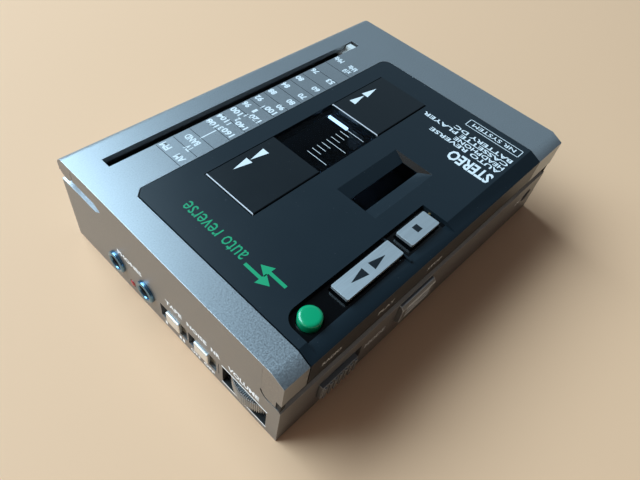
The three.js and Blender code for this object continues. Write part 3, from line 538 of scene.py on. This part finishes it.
for kind in ("noise", "tape"):
    node = f"{kind}_switch"
    low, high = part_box(node)
    behind = Vector((low.x + PLATE_THICKNESS, 0, 0))
    block = trimmed(merged(node), behind, (-1, 0, 0))
    piece(f"{kind}_switch_block", block, matt_rubber, "root", [node])
    plate = trimmed(merged(node), behind, (1, 0, 0))
    for side in (-1, 1):
        plate = trimmed(plate, Vector((0, middle(node).y + side * PLATE_HALF, 0)), (0, side, 0))
    bmesh.ops.recalc_face_normals(plate, faces=plate.faces)
    piece(f"{kind}_switch_plate", plate, switch_steel, "root", [])
    knob = merged(f"{kind}_switch_knob")
    knob_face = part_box(f"{kind}_switch_knob")[0].x
    for vert in knob.verts:
        if vert.co.x < knob_face + 0.01 * MM:
            vert.co.x = case_low.x - KNOB_STAND
    knob = softened(f"{kind}_switch_knob", 0.3 * MM, 3, knob)
    piece(f"{kind}_slider", knob, bright_metal, f"{kind}_knob", [f"{kind}_switch_knob"])

# Phone jacks: a black moulded body on the board, held to the end wall by a blue anodised
# ring nut, and between them the small red lens of the battery lamp.
blue_anodised = finished("blue_anodised", (0.14, 0.27, 0.40), 0.24, 0.92, grain=0.06, smudge=0.1)
red_lens = finished("red_lens", (0.42, 0.012, 0.03), 0.12, grain=0.02, smudge=0.05, coat=0.5)
for number in (1, 2):
    body_node = f"phone_jack_{number}"
    piece(f"jack_body_{number}", softened(body_node, FINE_ARRIS), dark_moulding, "root", [body_node])
    node = f"jack_ring_{number}"
    low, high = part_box(node)
    inner = Vector((high.x, middle(node).y, middle(node).z))
    ring_nut = spun([(2.1, 0), (3, 0), (3, 1.9), (3.3, 1.95), (3.3, 2.45), (3.22, 2.68), (3.02, 2.84),
                     (2.8, 2.9), (2.5, 2.88), (2.25, 2.76), (2.13, 2.55), (2.1, 2.3), (2.1, 0)], inner,
                    axis=(-1, 0, 0))
    piece(f"jack_nut_{number}", ring_nut, blue_anodised, "root", [node])
    # A black sleeve inside each ring nut is a painted shade in the bore
    bore_shade = spun([(1.8, 0.1), (2.08, 0.1), (2.08, 2.3), (1.95, 2.42), (1.8, 2.3), (1.8, 0.1)], inner,
                  axis=(-1, 0, 0))
    piece(f"jack_bore_shade_{number}", bore_shade, matt_rubber, "root", [])
low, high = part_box("battery_lamp")
lens = spun([(0, 0), (1.1, 0), (1.1, 2.5), (1.0, 2.8), (0.75, 3.02), (0.4, 3.09), (0, 3.1)],
            Vector((high.x, middle("battery_lamp").y, middle("battery_lamp").z)), axis=(-1, 0, 0), steps=40)
piece("lamp_lens", lens, red_lens, "root", ["battery_lamp"])

# Front face: the ribbed slide knob, the latch that frees the lid, its leaf spring, the socket
# for an outside supply, and the black strip that the lid shuts against; black notch blocks are painted shade.
piece("mode_slider", softened("mode_switch_knob", 0.1 * MM), case_paint, "mode_knob", ["mode_switch_knob"])
piece("latch", softened("latch_button", 0.4 * MM, 3), case_paint, "latch_button", ["latch_button"])
piece("latch_leaf", softened("latch_spring", 0.05 * MM), zinc, "root", ["latch_spring"])
piece("front_strip", softened("front_trim", FINE_ARRIS), matt_rubber, "root", ["front_trim"])
# Small black blocks in the notches under the lid's front corners, a painted shade
SHADE_BLOCK_LOW = Vector((0.15, 0.25, 0.02)) * MM
SHADE_BLOCK_HIGH = Vector((1.5, 1.4, 2.9)) * MM
notch_shade_blocks = bmesh.new()
for x, side in ((case_low.x, 1), (case_high.x, -1)):
    ends = sorted((x + side * SHADE_BLOCK_LOW.x, x + side * SHADE_BLOCK_HIGH.x))
    brick(notch_shade_blocks, Vector((ends[0], case_low.y + SHADE_BLOCK_LOW.y, STEP_Z + SHADE_BLOCK_LOW.z)),
          Vector((ends[1], case_low.y + SHADE_BLOCK_HIGH.y, STEP_Z + SHADE_BLOCK_HIGH.z)))
piece("lid_notch_shade", notch_shade_blocks, matt_rubber, "root", [])
piece("supply_socket", softened("dc_socket", FINE_ARRIS), dark_moulding, "root", ["dc_socket"])

# Lid frame: the silver moulding round the black panel. Its rear edge is rolled into the
# hinge barrel, the long dial slot is cut through it, and its two end walls get a painted shade.
lid_paint = finished("lid_paint", (0.40, 0.42, 0.435), 0.41, 0.8, grain=0.55, grain_scale=2800.0,
                     smudge=0.04, relief=0.12, wear_and_highlight=0.75, wear_and_highlight_color=(0.80, 0.84, 0.88))
OUTER_ROLL = 0.8 * MM
SEAM_GAP = 0.3 * MM
ROLL_MARK = 0.45 * MM
surround = merged("lid_frame")
lid_low, lid_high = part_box("lid_frame")
seam_y = step_axis.y + STEP_R - SEAM_GAP
for vert in surround.verts:
    if abs(vert.co.y - seam_y) < 0.03 * MM and vert.co.z > step_axis.z - 0.01 * MM:
        vert.co.y += CLOSE_FIT
ends = [e for e in surround.edges
        if all(v.co.z > lid_high.z - 2 * MM and v.co.x in (lid_low.x, lid_high.x) for v in e.verts)
        and e.calc_face_angle(0) > SHARP]
bmesh.ops.bevel(surround, geom=ends, offset=OUTER_ROLL, offset_type="OFFSET", segments=5, profile=0.5,
                affect="EDGES", material=-1, clamp_overlap=True)
lid_under = RIM_Z + SEAM_GAP


def on_lid_seam(edge):
    return (all(abs(v.co.z - lid_under) < 0.05 * MM for v in edge.verts)
            or all(abs(v.co.y - seam_y - CLOSE_FIT) < 0.05 * MM for v in edge.verts))


# The rolled edge over the controls' end, given a painted highlight in the lighter edge colour
def on_roll(face):
    beside_end = face.calc_center_median().x - lid_low.x < ROLL_MARK
    return beside_end and 0.2 < -face.normal.x < 0.95 and face.normal.z > 0.2


# Mixes a darker colour, a painted shade, into a finish on the faces that the "painted_shade" attribute marks
def painted_shade_where_marked(material, color, amount):
    tree = material.node_tree
    shader = tree.nodes["Principled BSDF"]
    painted_shade = tree.nodes.new("ShaderNodeAttribute")
    painted_shade.attribute_name = "painted_shade"
    share = math_node(tree, "MULTIPLY", painted_shade.outputs["Fac"], amount)
    open_tint = shader.inputs["Base Color"].links[0].from_socket
    tree.links.new(color_mix(tree, share, open_tint, (*color, 1)), shader.inputs["Base Color"])
    return share


surround = softened("lid_frame", ARRIS, 3, surround, on_lid_seam)
# The rolled edge at the controls' end gets a painted highlight
mark_more_faces(surround, "edge", on_roll)
for vert in surround.verts:
    vert.co.x = min(max(vert.co.x, lid_low.x), lid_high.x)
# The end walls, which face along the length, get a painted shade in a darker grey
painted_shade_where_marked(lid_paint, (0.27, 0.265, 0.27), 0.85)
mark_faces(surround, "painted_shade", lambda face: abs(face.normal.x) > 0.95)
piece("lid_surround", surround, lid_paint, "lid", ["lid_frame"])

# Printing on the silver face: white dial numbers between fine dark rules. INK is the
# thickness of a printed layer, and places on a face are in millimetres from its middle.
INK = 0.02 * MM
lid_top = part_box("lid_frame")[1].z
READ_UP_TOP = (Vector((0, 1, 0)), Vector((-1, 0, 0)))
READ_END = (Vector((0, -1, 0)), Vector((0, 0, 1)))
READ_FRONT = (Vector((1, 0, 0)), Vector((0, 0, 1)))


def on_top(x, y, z=None):
    return centre + Vector((x * MM, y * MM, lid_top if z is None else z))


def stamp_matrix(place, reading, up, scale):
    across = reading.cross(up)
    turned = Matrix((reading, up, across)).transposed().to_4x4()
    return Matrix.Translation(place + across * INK * 0.2) @ turned @ Matrix.Diagonal((*scale, 1))


def words(bm, text, place, length, height, facing, bold=0.0):
    """Adds a word to bm so that it fills a box of length by height, in millimetres."""
    curve = bpy.data.curves.new("word", "FONT")
    curve.body = text
    curve.extrude = 0.5
    curve.offset = bold
    curve.resolution_u = 2
    holder = link_object("word", curve)
    bpy.context.view_layer.update()
    mesh = bpy.data.meshes.new_from_object(holder.evaluated_get(bpy.context.evaluated_depsgraph_get()))
    xs = [v.co.x for v in mesh.vertices]
    ys = [v.co.y for v in mesh.vertices]
    mesh.transform(Matrix.Translation((-(min(xs) + max(xs)) / 2, -(min(ys) + max(ys)) / 2, 0)))
    scale = (length * MM / (max(xs) - min(xs)), height * MM / (max(ys) - min(ys)), INK)
    mesh.transform(stamp_matrix(place, *facing, scale))
    bm.from_mesh(mesh)
    bpy.data.objects.remove(holder)
    bpy.data.curves.remove(curve)
    bpy.data.meshes.remove(mesh)


def bar(bm, place, length, width, facing):
    made = bmesh.ops.create_cube(bm, size=1)["verts"]
    bmesh.ops.transform(bm, matrix=stamp_matrix(place, *facing, (length * MM, width * MM, INK)), verts=made)


def polygon(bm, place, points, facing):
    made = [bm.verts.new((a, b, -0.5)) for a, b in points]
    face = bm.faces.new(made)
    grown = bmesh.ops.extrude_face_region(bm, geom=[face])["geom"]
    above = [v for v in grown if isinstance(v, bmesh.types.BMVert)]
    bmesh.ops.translate(bm, vec=(0, 0, 1), verts=above)
    bmesh.ops.transform(bm, matrix=stamp_matrix(place, *facing, (MM, MM, INK)), verts=made + above)


def printed(name, bm, ink, body):
    bmesh.ops.recalc_face_normals(bm, faces=bm.faces)
    return piece(name, bm, ink, body, [])


white_ink = finished("white_ink", (0.88, 0.90, 0.90), 0.5, grain=0.1, smudge=0.1)
dark_ink = finished("dark_ink", (0.012, 0.016, 0.02), 0.6, grain=0.1, smudge=0.1)
dark_ink.node_tree.nodes["Principled BSDF"].inputs["Specular IOR Level"].default_value = 0.15
green_ink = finished("green_ink", (0.0, 0.36, 0.15), 0.5, grain=0.08, smudge=0.1)

FM_END = 29.5
AM_START = 20.1
TV_ROW = 24.6
FIGURE = 2.15
FIGURE_PITCH = 1.28
FIGURE_BOLD = 0.035
CHANNEL_WIDTH = 0.9
CHANNEL_HEIGHT = 1.9
CHANNEL_DASH = 1.7
FIRST_DASH = 5.4
DASH_WIDTH = 0.35
fm_figures = [("108", -20.5), ("104", -16.7), ("100", -11.9), ("96", -7.5), ("92", -2.7), ("88", 2.6),
              ("84", 8.0), ("80", 14.0), ("76", 20.7)]
am_figures = [("160", -19.7), ("140", -14.9), ("120", -9.9), ("100", -3.9), ("90", -0.6), ("80", 3.5),
              ("70", 8.2), ("60", 14.0), ("53", 20.5)]
dial = bmesh.new()
for text, x in fm_figures:
    length = FIGURE_PITCH * len(text)
    words(dial, text, on_top(x, FM_END - length / 2), length, FIGURE, READ_UP_TOP, FIGURE_BOLD)
for text, x in am_figures:
    length = FIGURE_PITCH * len(text)
    words(dial, text, on_top(x, AM_START + length / 2), length, FIGURE, READ_UP_TOP, FIGURE_BOLD)
for text, x in (("3", -20.0), ("2", -14.0), ("1", -7.6)):
    words(dial, text, on_top(x, TV_ROW), CHANNEL_WIDTH, CHANNEL_HEIGHT, READ_UP_TOP, FIGURE_BOLD)
for x, length in ((-17.1, CHANNEL_DASH), (-10.9, CHANNEL_DASH), (-4.6, CHANNEL_DASH), (-24.2, FIRST_DASH)):
    bar(dial, on_top(x, TV_ROW), DASH_WIDTH, length, READ_UP_TOP)
for text, x, y, length in (("FM", -35.7, 27.6, 3.0), ("AM", -35.7, 21.8, 3.0), ("TV", -31.6, 23.4, 2.2),
                           ("BAND", -28.9, 25.4, 5.0), ("MHz", 31.6, 27.9, 3.4), ("x10", 28.8, 22.0, 2.6),
                           ("kHz", 31.6, 22.0, 3.2)):
    words(dial, text, on_top(x, y), length, FIGURE, READ_UP_TOP, FIGURE_BOLD)
printed("dial_figures", dial, white_ink, "lid")

RULES = 13
RULE_PITCH = 5.38
FIRST_RULE = -37.4
RULE_ROW = 24.3
RULE_LENGTH = 10.2
RULE_WIDTH = 0.16
rules = bmesh.new()
for index in range(RULES):
    bar(rules, on_top(FIRST_RULE + index * RULE_PITCH, RULE_ROW), RULE_LENGTH, RULE_WIDTH, READ_UP_TOP)
printed("dial_rules", rules, dark_ink, "lid")

# Dial pointer: a white moulded slider on a steel rail under the slot. The rail is held by an
# ear at each end of the lid.
piece("pointer", softened("dial_pointer", 0.15 * MM, 2), white_moulding, "dial_pointer", ["dial_pointer"])
low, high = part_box("pointer_rail")
reach = (high.x - low.x) / MM
rail = spun([(0, 0), (0.5, 0), (0.6, 0.1), (0.6, reach - 0.1), (0.5, reach), (0, reach)],
            Vector((low.x, middle("pointer_rail").y, middle("pointer_rail").z)), axis=(1, 0, 0), steps=32)
piece("rail", rail, zinc, "lid", ["pointer_rail"])

# Lid panel: a blue-black satin moulding let into the frame, with the key trough, the winding
# keys' recess and the bevelled finger opening moulded in. It is clipped to the inner plate.
panel_satin = finished("panel_satin", (0.009, 0.017, 0.023), 0.36, grain=0.1, grain_scale=3000.0,
                       smudge=0.08, dust=0.5, relief=0.05, wear_and_highlight=0.5, wear_and_highlight_color=(0.20, 0.24, 0.27))
# On the winding keys the lighter edge colour goes only on the bevelled near edge, a painted highlight
key_satin = finished("key_satin", (0.004, 0.008, 0.011), 0.33, grain=0.05, smudge=0.06, dust=0.3, wear_and_highlight=1.4,
                     wear_and_highlight_color=(0.62, 0.60, 0.62))
WELL_DEPTH = 0.7 * MM
WELL_REAR = case_low.y + 12.9 * MM
SLOPE_DEPTH = 0.3 * MM
BORDER_GAP = 0.16 * MM
panel_tree = panel_satin.node_tree
panel_shader = panel_tree.nodes["Principled BSDF"]
panel_shader.inputs["Specular IOR Level"].default_value = 0.42
open_rough = panel_shader.inputs["Roughness"].links[0].from_socket
# The key trough and the far slope of the finger opening get a near-black painted shade, and a little less
# roughness
trough_shade_share = painted_shade_where_marked(panel_satin, (0.0015, 0.002, 0.0025), 1.0)
smoother = math_node(panel_tree, "MULTIPLY", trough_shade_share, 0.2)
panel_tree.links.new(math_node(panel_tree, "SUBTRACT", open_rough, smoother, True),
                     panel_shader.inputs["Roughness"])
panel_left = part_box("lid_panel")[0].x
panel_bm = merged("lid_panel")
for vert in panel_bm.verts:
    if abs(vert.co.x - panel_left) < 0.01 * MM:
        vert.co.x += BORDER_GAP
well_front = case_low.y + 4.0 * MM
bmesh.ops.bisect_plane(panel_bm, geom=panel_bm.verts[:] + panel_bm.edges[:] + panel_bm.faces[:], dist=1e-7,
                       plane_co=(0, well_front, 0), plane_no=(0, 1, 0))
panel_bm = softened("lid_panel", 0.14 * MM, 2, panel_bm)


# Painted shade: the key trough, and the end slope of the finger opening that faces away from the window
def is_shaded(face):
    at = face.calc_center_median()
    in_well = at.z < lid_top - WELL_DEPTH and well_front < at.y < WELL_REAR
    far_side = at.x > centre.x and at.z < lid_top - SLOPE_DEPTH
    return in_well or (far_side and face.normal.x < -0.3 and face.normal.z > 0.2)


mark_faces(panel_bm, "painted_shade", is_shaded)
piece("panel", panel_bm, panel_satin, "lid", ["lid_panel"])
RIVET_SINK = 1.25 * MM
rivet = spun([(0, 0), (0.42, 0), (0.42, 0.85), (0.3, 1.05), (0, 1.15)],
             on_top(0.5, -32.5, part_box("lid_panel")[1].z - RIVET_SINK), steps=24)
piece("well_rivet", rivet, brass_turned, "lid", [])
piece("inner_plate", softened("lid_inner_plate", FINE_ARRIS), dark_moulding, "lid", ["lid_inner_plate"])
piece("catch", softened("lid_catch", FINE_ARRIS), zinc, "lid", ["lid_catch"])
for side in ("left", "right"):
    piece(f"strip_spring_{side}", softened(f"hold_spring_{side}", 0.03 * MM, 1), brass_turned, "lid",
          [f"hold_spring_{side}"])

# Printing on the black panel: generic words in white at its right, a framed badge below them,
# and the reversing mark in green, two plain arrows that point opposite ways.
LEGEND_START = -36.3
LEGEND_HEIGHT = 1.75
BADGE_PLACE = (40.35, -27.0)
BADGE_LENGTH = 18.6
BADGE_HEIGHT = 3.7
BADGE_LINE = 0.22
legends = bmesh.new()
words(legends, "STEREO", on_top(23.8, -29.2), 14.0, 4.7, READ_UP_TOP, 0.03)
for text, x, length in (("AUTO REVERSE", 28.4, 24.2), ("HEADPHONE", 30.6, 17.0),
                        ("CASSETTE PLAYER", 32.9, 30.0), ("BATTERY DC", 35.2, 20.0)):
    words(legends, text, on_top(x, LEGEND_START + length / 2), length, LEGEND_HEIGHT, READ_UP_TOP, 0.02)
badge_x, badge_y = BADGE_PLACE
for side in (-1, 1):
    bar(legends, on_top(badge_x + side * 1.75, badge_y), BADGE_LENGTH, BADGE_LINE, READ_UP_TOP)
    bar(legends, on_top(badge_x, badge_y + side * 9.2), BADGE_LINE, BADGE_HEIGHT, READ_UP_TOP)
words(legends, "NR SYSTEM", on_top(badge_x, badge_y), 15.0, 1.7, READ_UP_TOP, 0.01)
printed("panel_legends", legends, white_ink, "lid")

reversing = bmesh.new()
words(reversing, "auto reverse", on_top(-44.1, -2.3), 21.2, 3.4, READ_UP_TOP, 0.0)
LONG_ARROW = [(-4.0, -0.45), (1.2, -0.45), (1.2, -1.8), (4.2, 0), (1.2, 1.8), (1.2, 0.45), (-4.0, 0.45)]
for sign, x, y in ((-1, -45.1, -18.2), (1, -42.6, -20.9)):
    polygon(reversing, on_top(x, y), [(sign * a, b) for a, b in LONG_ARROW], READ_UP_TOP)
printed("reversing_mark", reversing, green_ink, "lid")

# Winding keys and window: two gloss black keys with white arrows, each pivoted beside a
# smoked window that shows the tape. The window's marks are printed on its face.
ARROW_HALF = (1.15, 2.75)
ARROW_ROW = 10.0
KEY_EDGE = 0.3 * MM
for name, marks, flip in (("rewind_key", (-25.2, -19.4), -1), ("forward_key", (20.9, 26.6), 1)):
    key_low, key_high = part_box(name)
    key_top = key_high.z
    bm = merged(name)
    # The bevel on each key's near top edge carries a painted highlight
    near_edge = [e for e in bm.edges
                 if all(abs(v.co.x - key_low.x) < 0.01 * MM and v.co.z > key_top - KEY_EDGE for v in e.verts)]
    painted_highlight_faces = bmesh.ops.bevel(bm, geom=near_edge, offset=0.22 * MM, offset_type="OFFSET", segments=2,
                                   profile=0.5, affect="EDGES", material=-1, clamp_overlap=True)["faces"]
    mark_faces(bm, "edge", lambda face: face in painted_highlight_faces)
    piece(f"{name}_top", bm, key_satin, name, [name])
    arrows = bmesh.new()
    wide, deep = ARROW_HALF
    for x in marks:
        tip = [(-wide, -deep * -flip), (wide, -deep * -flip), (0, deep * -flip)]
        polygon(arrows, on_top(x, ARROW_ROW, key_top), tip, READ_UP_TOP)
    printed(f"{name}_arrows", arrows, white_ink, name)

smoked, smoked_shader = new_material("smoked_clear", (0.15, 0.23, 0.33), 0.04)
smoked_shader.inputs["Transmission Weight"].default_value = 1.0
smoked_shader.inputs["IOR"].default_value = 1.15
smoked_tree = smoked.node_tree
smoked_coords = smoked_tree.nodes.new("ShaderNodeTexCoord").outputs["Object"]
smoke_rough = math_node(smoked_tree, "MULTIPLY", noise_node(smoked_tree, smoked_coords, 220.0, 4.0), 0.12)
smoked_tree.links.new(smoke_rough, smoked_shader.inputs["Roughness"])
piece("window", softened("tape_window", FINE_ARRIS), smoked, "lid", ["tape_window"])
window_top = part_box("tape_window")[1].z
TICKS = 9
FIRST_TICK = -7.0
TICK_PITCH = 1.9
TICK_WIDTH = 0.15
LONG_TICK = (0.3, 7.2)
SHORT_TICK = (2.25, 3.3)
scale_marks = bmesh.new()
for index in range(TICKS):
    row, length = LONG_TICK if index % 4 == 0 else SHORT_TICK
    bar(scale_marks, on_top(FIRST_TICK + index * TICK_PITCH, row, window_top), length, TICK_WIDTH, READ_UP_TOP)
printed("window_marks", scale_marks, white_ink, "lid")
FLAG_NARROWING = 0.45
flag_white_glowing = finished("flag_white_glowing", (0.92, 0.93, 0.95), 0.4, grain=0.05, smudge=0.05)
flag_shader = flag_white_glowing.node_tree.nodes["Principled BSDF"]
# The flag glows, a painted light that keeps it bright behind the smoked window
flag_shader.inputs["Emission Color"].default_value = (0.85, 0.93, 1.0, 1)
flag_shader.inputs["Emission Strength"].default_value = 6.0
flag = merged("direction_flag")
flag_mid = middle("direction_flag").x
for vert in flag.verts:
    vert.co.x = flag_mid + (vert.co.x - flag_mid) * FLAG_NARROWING
piece("flag", softened("direction_flag", FINE_ARRIS, 2, flag), flag_white_glowing, "direction_flag",
      ["direction_flag"])

# Play and stop keys: black moulded bodies capped with brushed aluminium, stamped with dark
# marks. Each sinks into its own hole in the trough.
brushed, brushed_shader = new_material("brushed_aluminium", (0.66, 0.70, 0.72), 0.5, 0.85)
brushed_tree = brushed.node_tree
brushed_coords = brushed_tree.nodes.new("ShaderNodeTexCoord").outputs["Object"]
streak_map = brushed_tree.nodes.new("ShaderNodeMapping")
streak_map.inputs["Scale"].default_value = (120, 9000, 9000)
brushed_tree.links.new(brushed_coords, streak_map.inputs["Vector"])
streaks = noise_node(brushed_tree, streak_map.outputs["Vector"], 1.0, 3.0)
streak_rough = math_node(brushed_tree, "ADD", math_node(brushed_tree, "MULTIPLY", streaks, 0.2), 0.38)
brushed_tree.links.new(streak_rough, brushed_shader.inputs["Roughness"])
brushed_tree.links.new(color_mix(brushed_tree, streaks, (0.56, 0.60, 0.62, 1), (0.76, 0.80, 0.82, 1)),
                       brushed_shader.inputs["Base Color"])
key_black = finished("key_black", (0.004, 0.005, 0.006), 0.16, grain=0.05, smudge=0.1, coat=0.3)
TOUCHING = 0.001 * MM
ARROW_SHIFT = 3.6 * MM
for name in ("play_key", "stop_key"):
    piece(f"{name}_body", softened(name, 0.2 * MM), key_black, name, [name])
    plate = merged(f"{name}_cap")
    cap_low, cap_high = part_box(f"{name}_cap")
    fold = [e for e in plate.edges
            if all(v.co.z > cap_high.z - TOUCHING and v.co.x < cap_low.x + TOUCHING for v in e.verts)]
    bmesh.ops.bevel(plate, geom=fold, offset=0.5 * MM, offset_type="OFFSET", segments=3, profile=0.5,
                    affect="EDGES", material=-1, clamp_overlap=True)
    piece(f"{name}_plate", softened(name, 0.14 * MM, 2, plate), brushed, name, [f"{name}_cap"])
    mid = middle(f"{name}_cap")
    marks = bmesh.new()
    if name == "stop_key":
        bar(marks, Vector((mid.x - 0.3 * MM, mid.y + 0.1 * MM, cap_high.z)), 2.0, 1.9, READ_UP_TOP)
    else:
        for sign in (-1, 1):
            tip = [(-1.2, -2.5 * sign), (1.2, -2.5 * sign), (0, 2.5 * sign)]
            polygon(marks, Vector((mid.x - sign * ARROW_SHIFT, mid.y, cap_high.z)), tip, READ_UP_TOP)
    printed(f"{name}_mark", marks, dark_ink, name)

# Green button: a round gloss cap with a softly rounded rim, which sinks into the trough beside
# the play key.
green_gloss = finished("green_gloss", (0.0, 0.36, 0.15), 0.26, grain=0.04, smudge=0.1, coat=0.5)
button_height = span("green_button").z
cap = spun([(0, 0), (2.85, 0), (2.85, button_height - 0.75), (2.8, button_height - 0.5),
            (2.64, button_height - 0.26), (2.4, button_height - 0.1), (2.1, button_height - 0.02),
            (1.8, button_height), (0, button_height)],
           upright("green_button"), steps=72)
piece("green_cap", cap, green_gloss, "green_button", ["green_button"])

# Printing on the end and front faces of the case: white names beside each socket, switch and
# key, and white bars along the volume wheel's slot that are painted highlights.
LIP_OFFSET = 0.25
LIP_LENGTH = 15.6
LIP_WIDTH = 0.45
end_x = (case_low.x - centre.x) / MM
front_y = (case_low.y - centre.y) / MM


def on_end(y, z):
    return centre + Vector((end_x, y, z)) * MM


def on_front(x, z):
    return centre + Vector((x, front_y, z)) * MM


end_ink_glowing = finished("end_ink_glowing", (0.90, 0.92, 0.92), 0.5, grain=0.1, smudge=0.1)
end_shader = end_ink_glowing.node_tree.nodes["Principled BSDF"]
# The end ink glows a little, a painted light that keeps the white names bright on the shaded end face
end_shader.inputs["Emission Color"].default_value = (0.85, 0.92, 1.0, 1)
end_shader.inputs["Emission Strength"].default_value = 0.22
end_print = bmesh.new()
for text, y, z, length, height in (("VOLUME", -29.6, 12.6, 10.4, 1.9), ("NOISE", -13.0, 12.9, 7.4, 1.7),
                                   ("NR", -19.9, 12.9, 3.2, 1.7), ("TAPE", -4.2, 13.1, 6.3, 1.7),
                                   ("PHONES", 13.9, 13.2, 10.4, 1.7), ("ON  OFF", -14.6, 1.5, 9.4, 1.4),
                                   ("I   II", -3.5, 1.5, 8.0, 1.4), ("A", 22.6, 2.2, 1.4, 1.5),
                                   ("B", 9.9, 2.2, 1.4, 1.5)):
    words(end_print, text, on_end(y, z), length, height, READ_END, 0.03)
printed("end_legends", end_print, end_ink_glowing, "root")
# Two white bars along the slot's top and bottom edges are painted highlights
slot_highlights = bmesh.new()
slot_y = (middle("volume_wheel").y - centre.y) / MM
for z in (SLOT_HEIGHTS[0] / MM - LIP_OFFSET, SLOT_HEIGHTS[1] / MM + LIP_OFFSET):
    bar(slot_highlights, on_end(slot_y, z), LIP_LENGTH, LIP_WIDTH, READ_END)
printed("slot_highlight_bars", slot_highlights, end_ink_glowing, "root")
end_lines = bmesh.new()
bar(end_lines, on_end(-20.9, 6.6), 0.22, 5.0, READ_END)
printed("end_lines", end_lines, dark_ink, "root")

front_print = bmesh.new()
words(front_print, "MODE", on_front(-24.9, 8.6), 8.0, 2.0, READ_FRONT, 0.03)
words(front_print, "DC", on_front(46.6, 9.6), 3.0, 1.6, READ_FRONT, 0.03)
printed("front_legends", front_print, white_ink, "root")
KEY_WORD = (6.0, 1.3)
KEY_ROW = 23.4
key_print = bmesh.new()
for text, x in (("RADIO", -43.9), ("PLAY", -25.2), ("STOP", -6.1)):
    words(key_print, text, on_front(x, KEY_ROW), *KEY_WORD, READ_FRONT, 0.01)
printed("key_legends", key_print, white_ink, "lid")
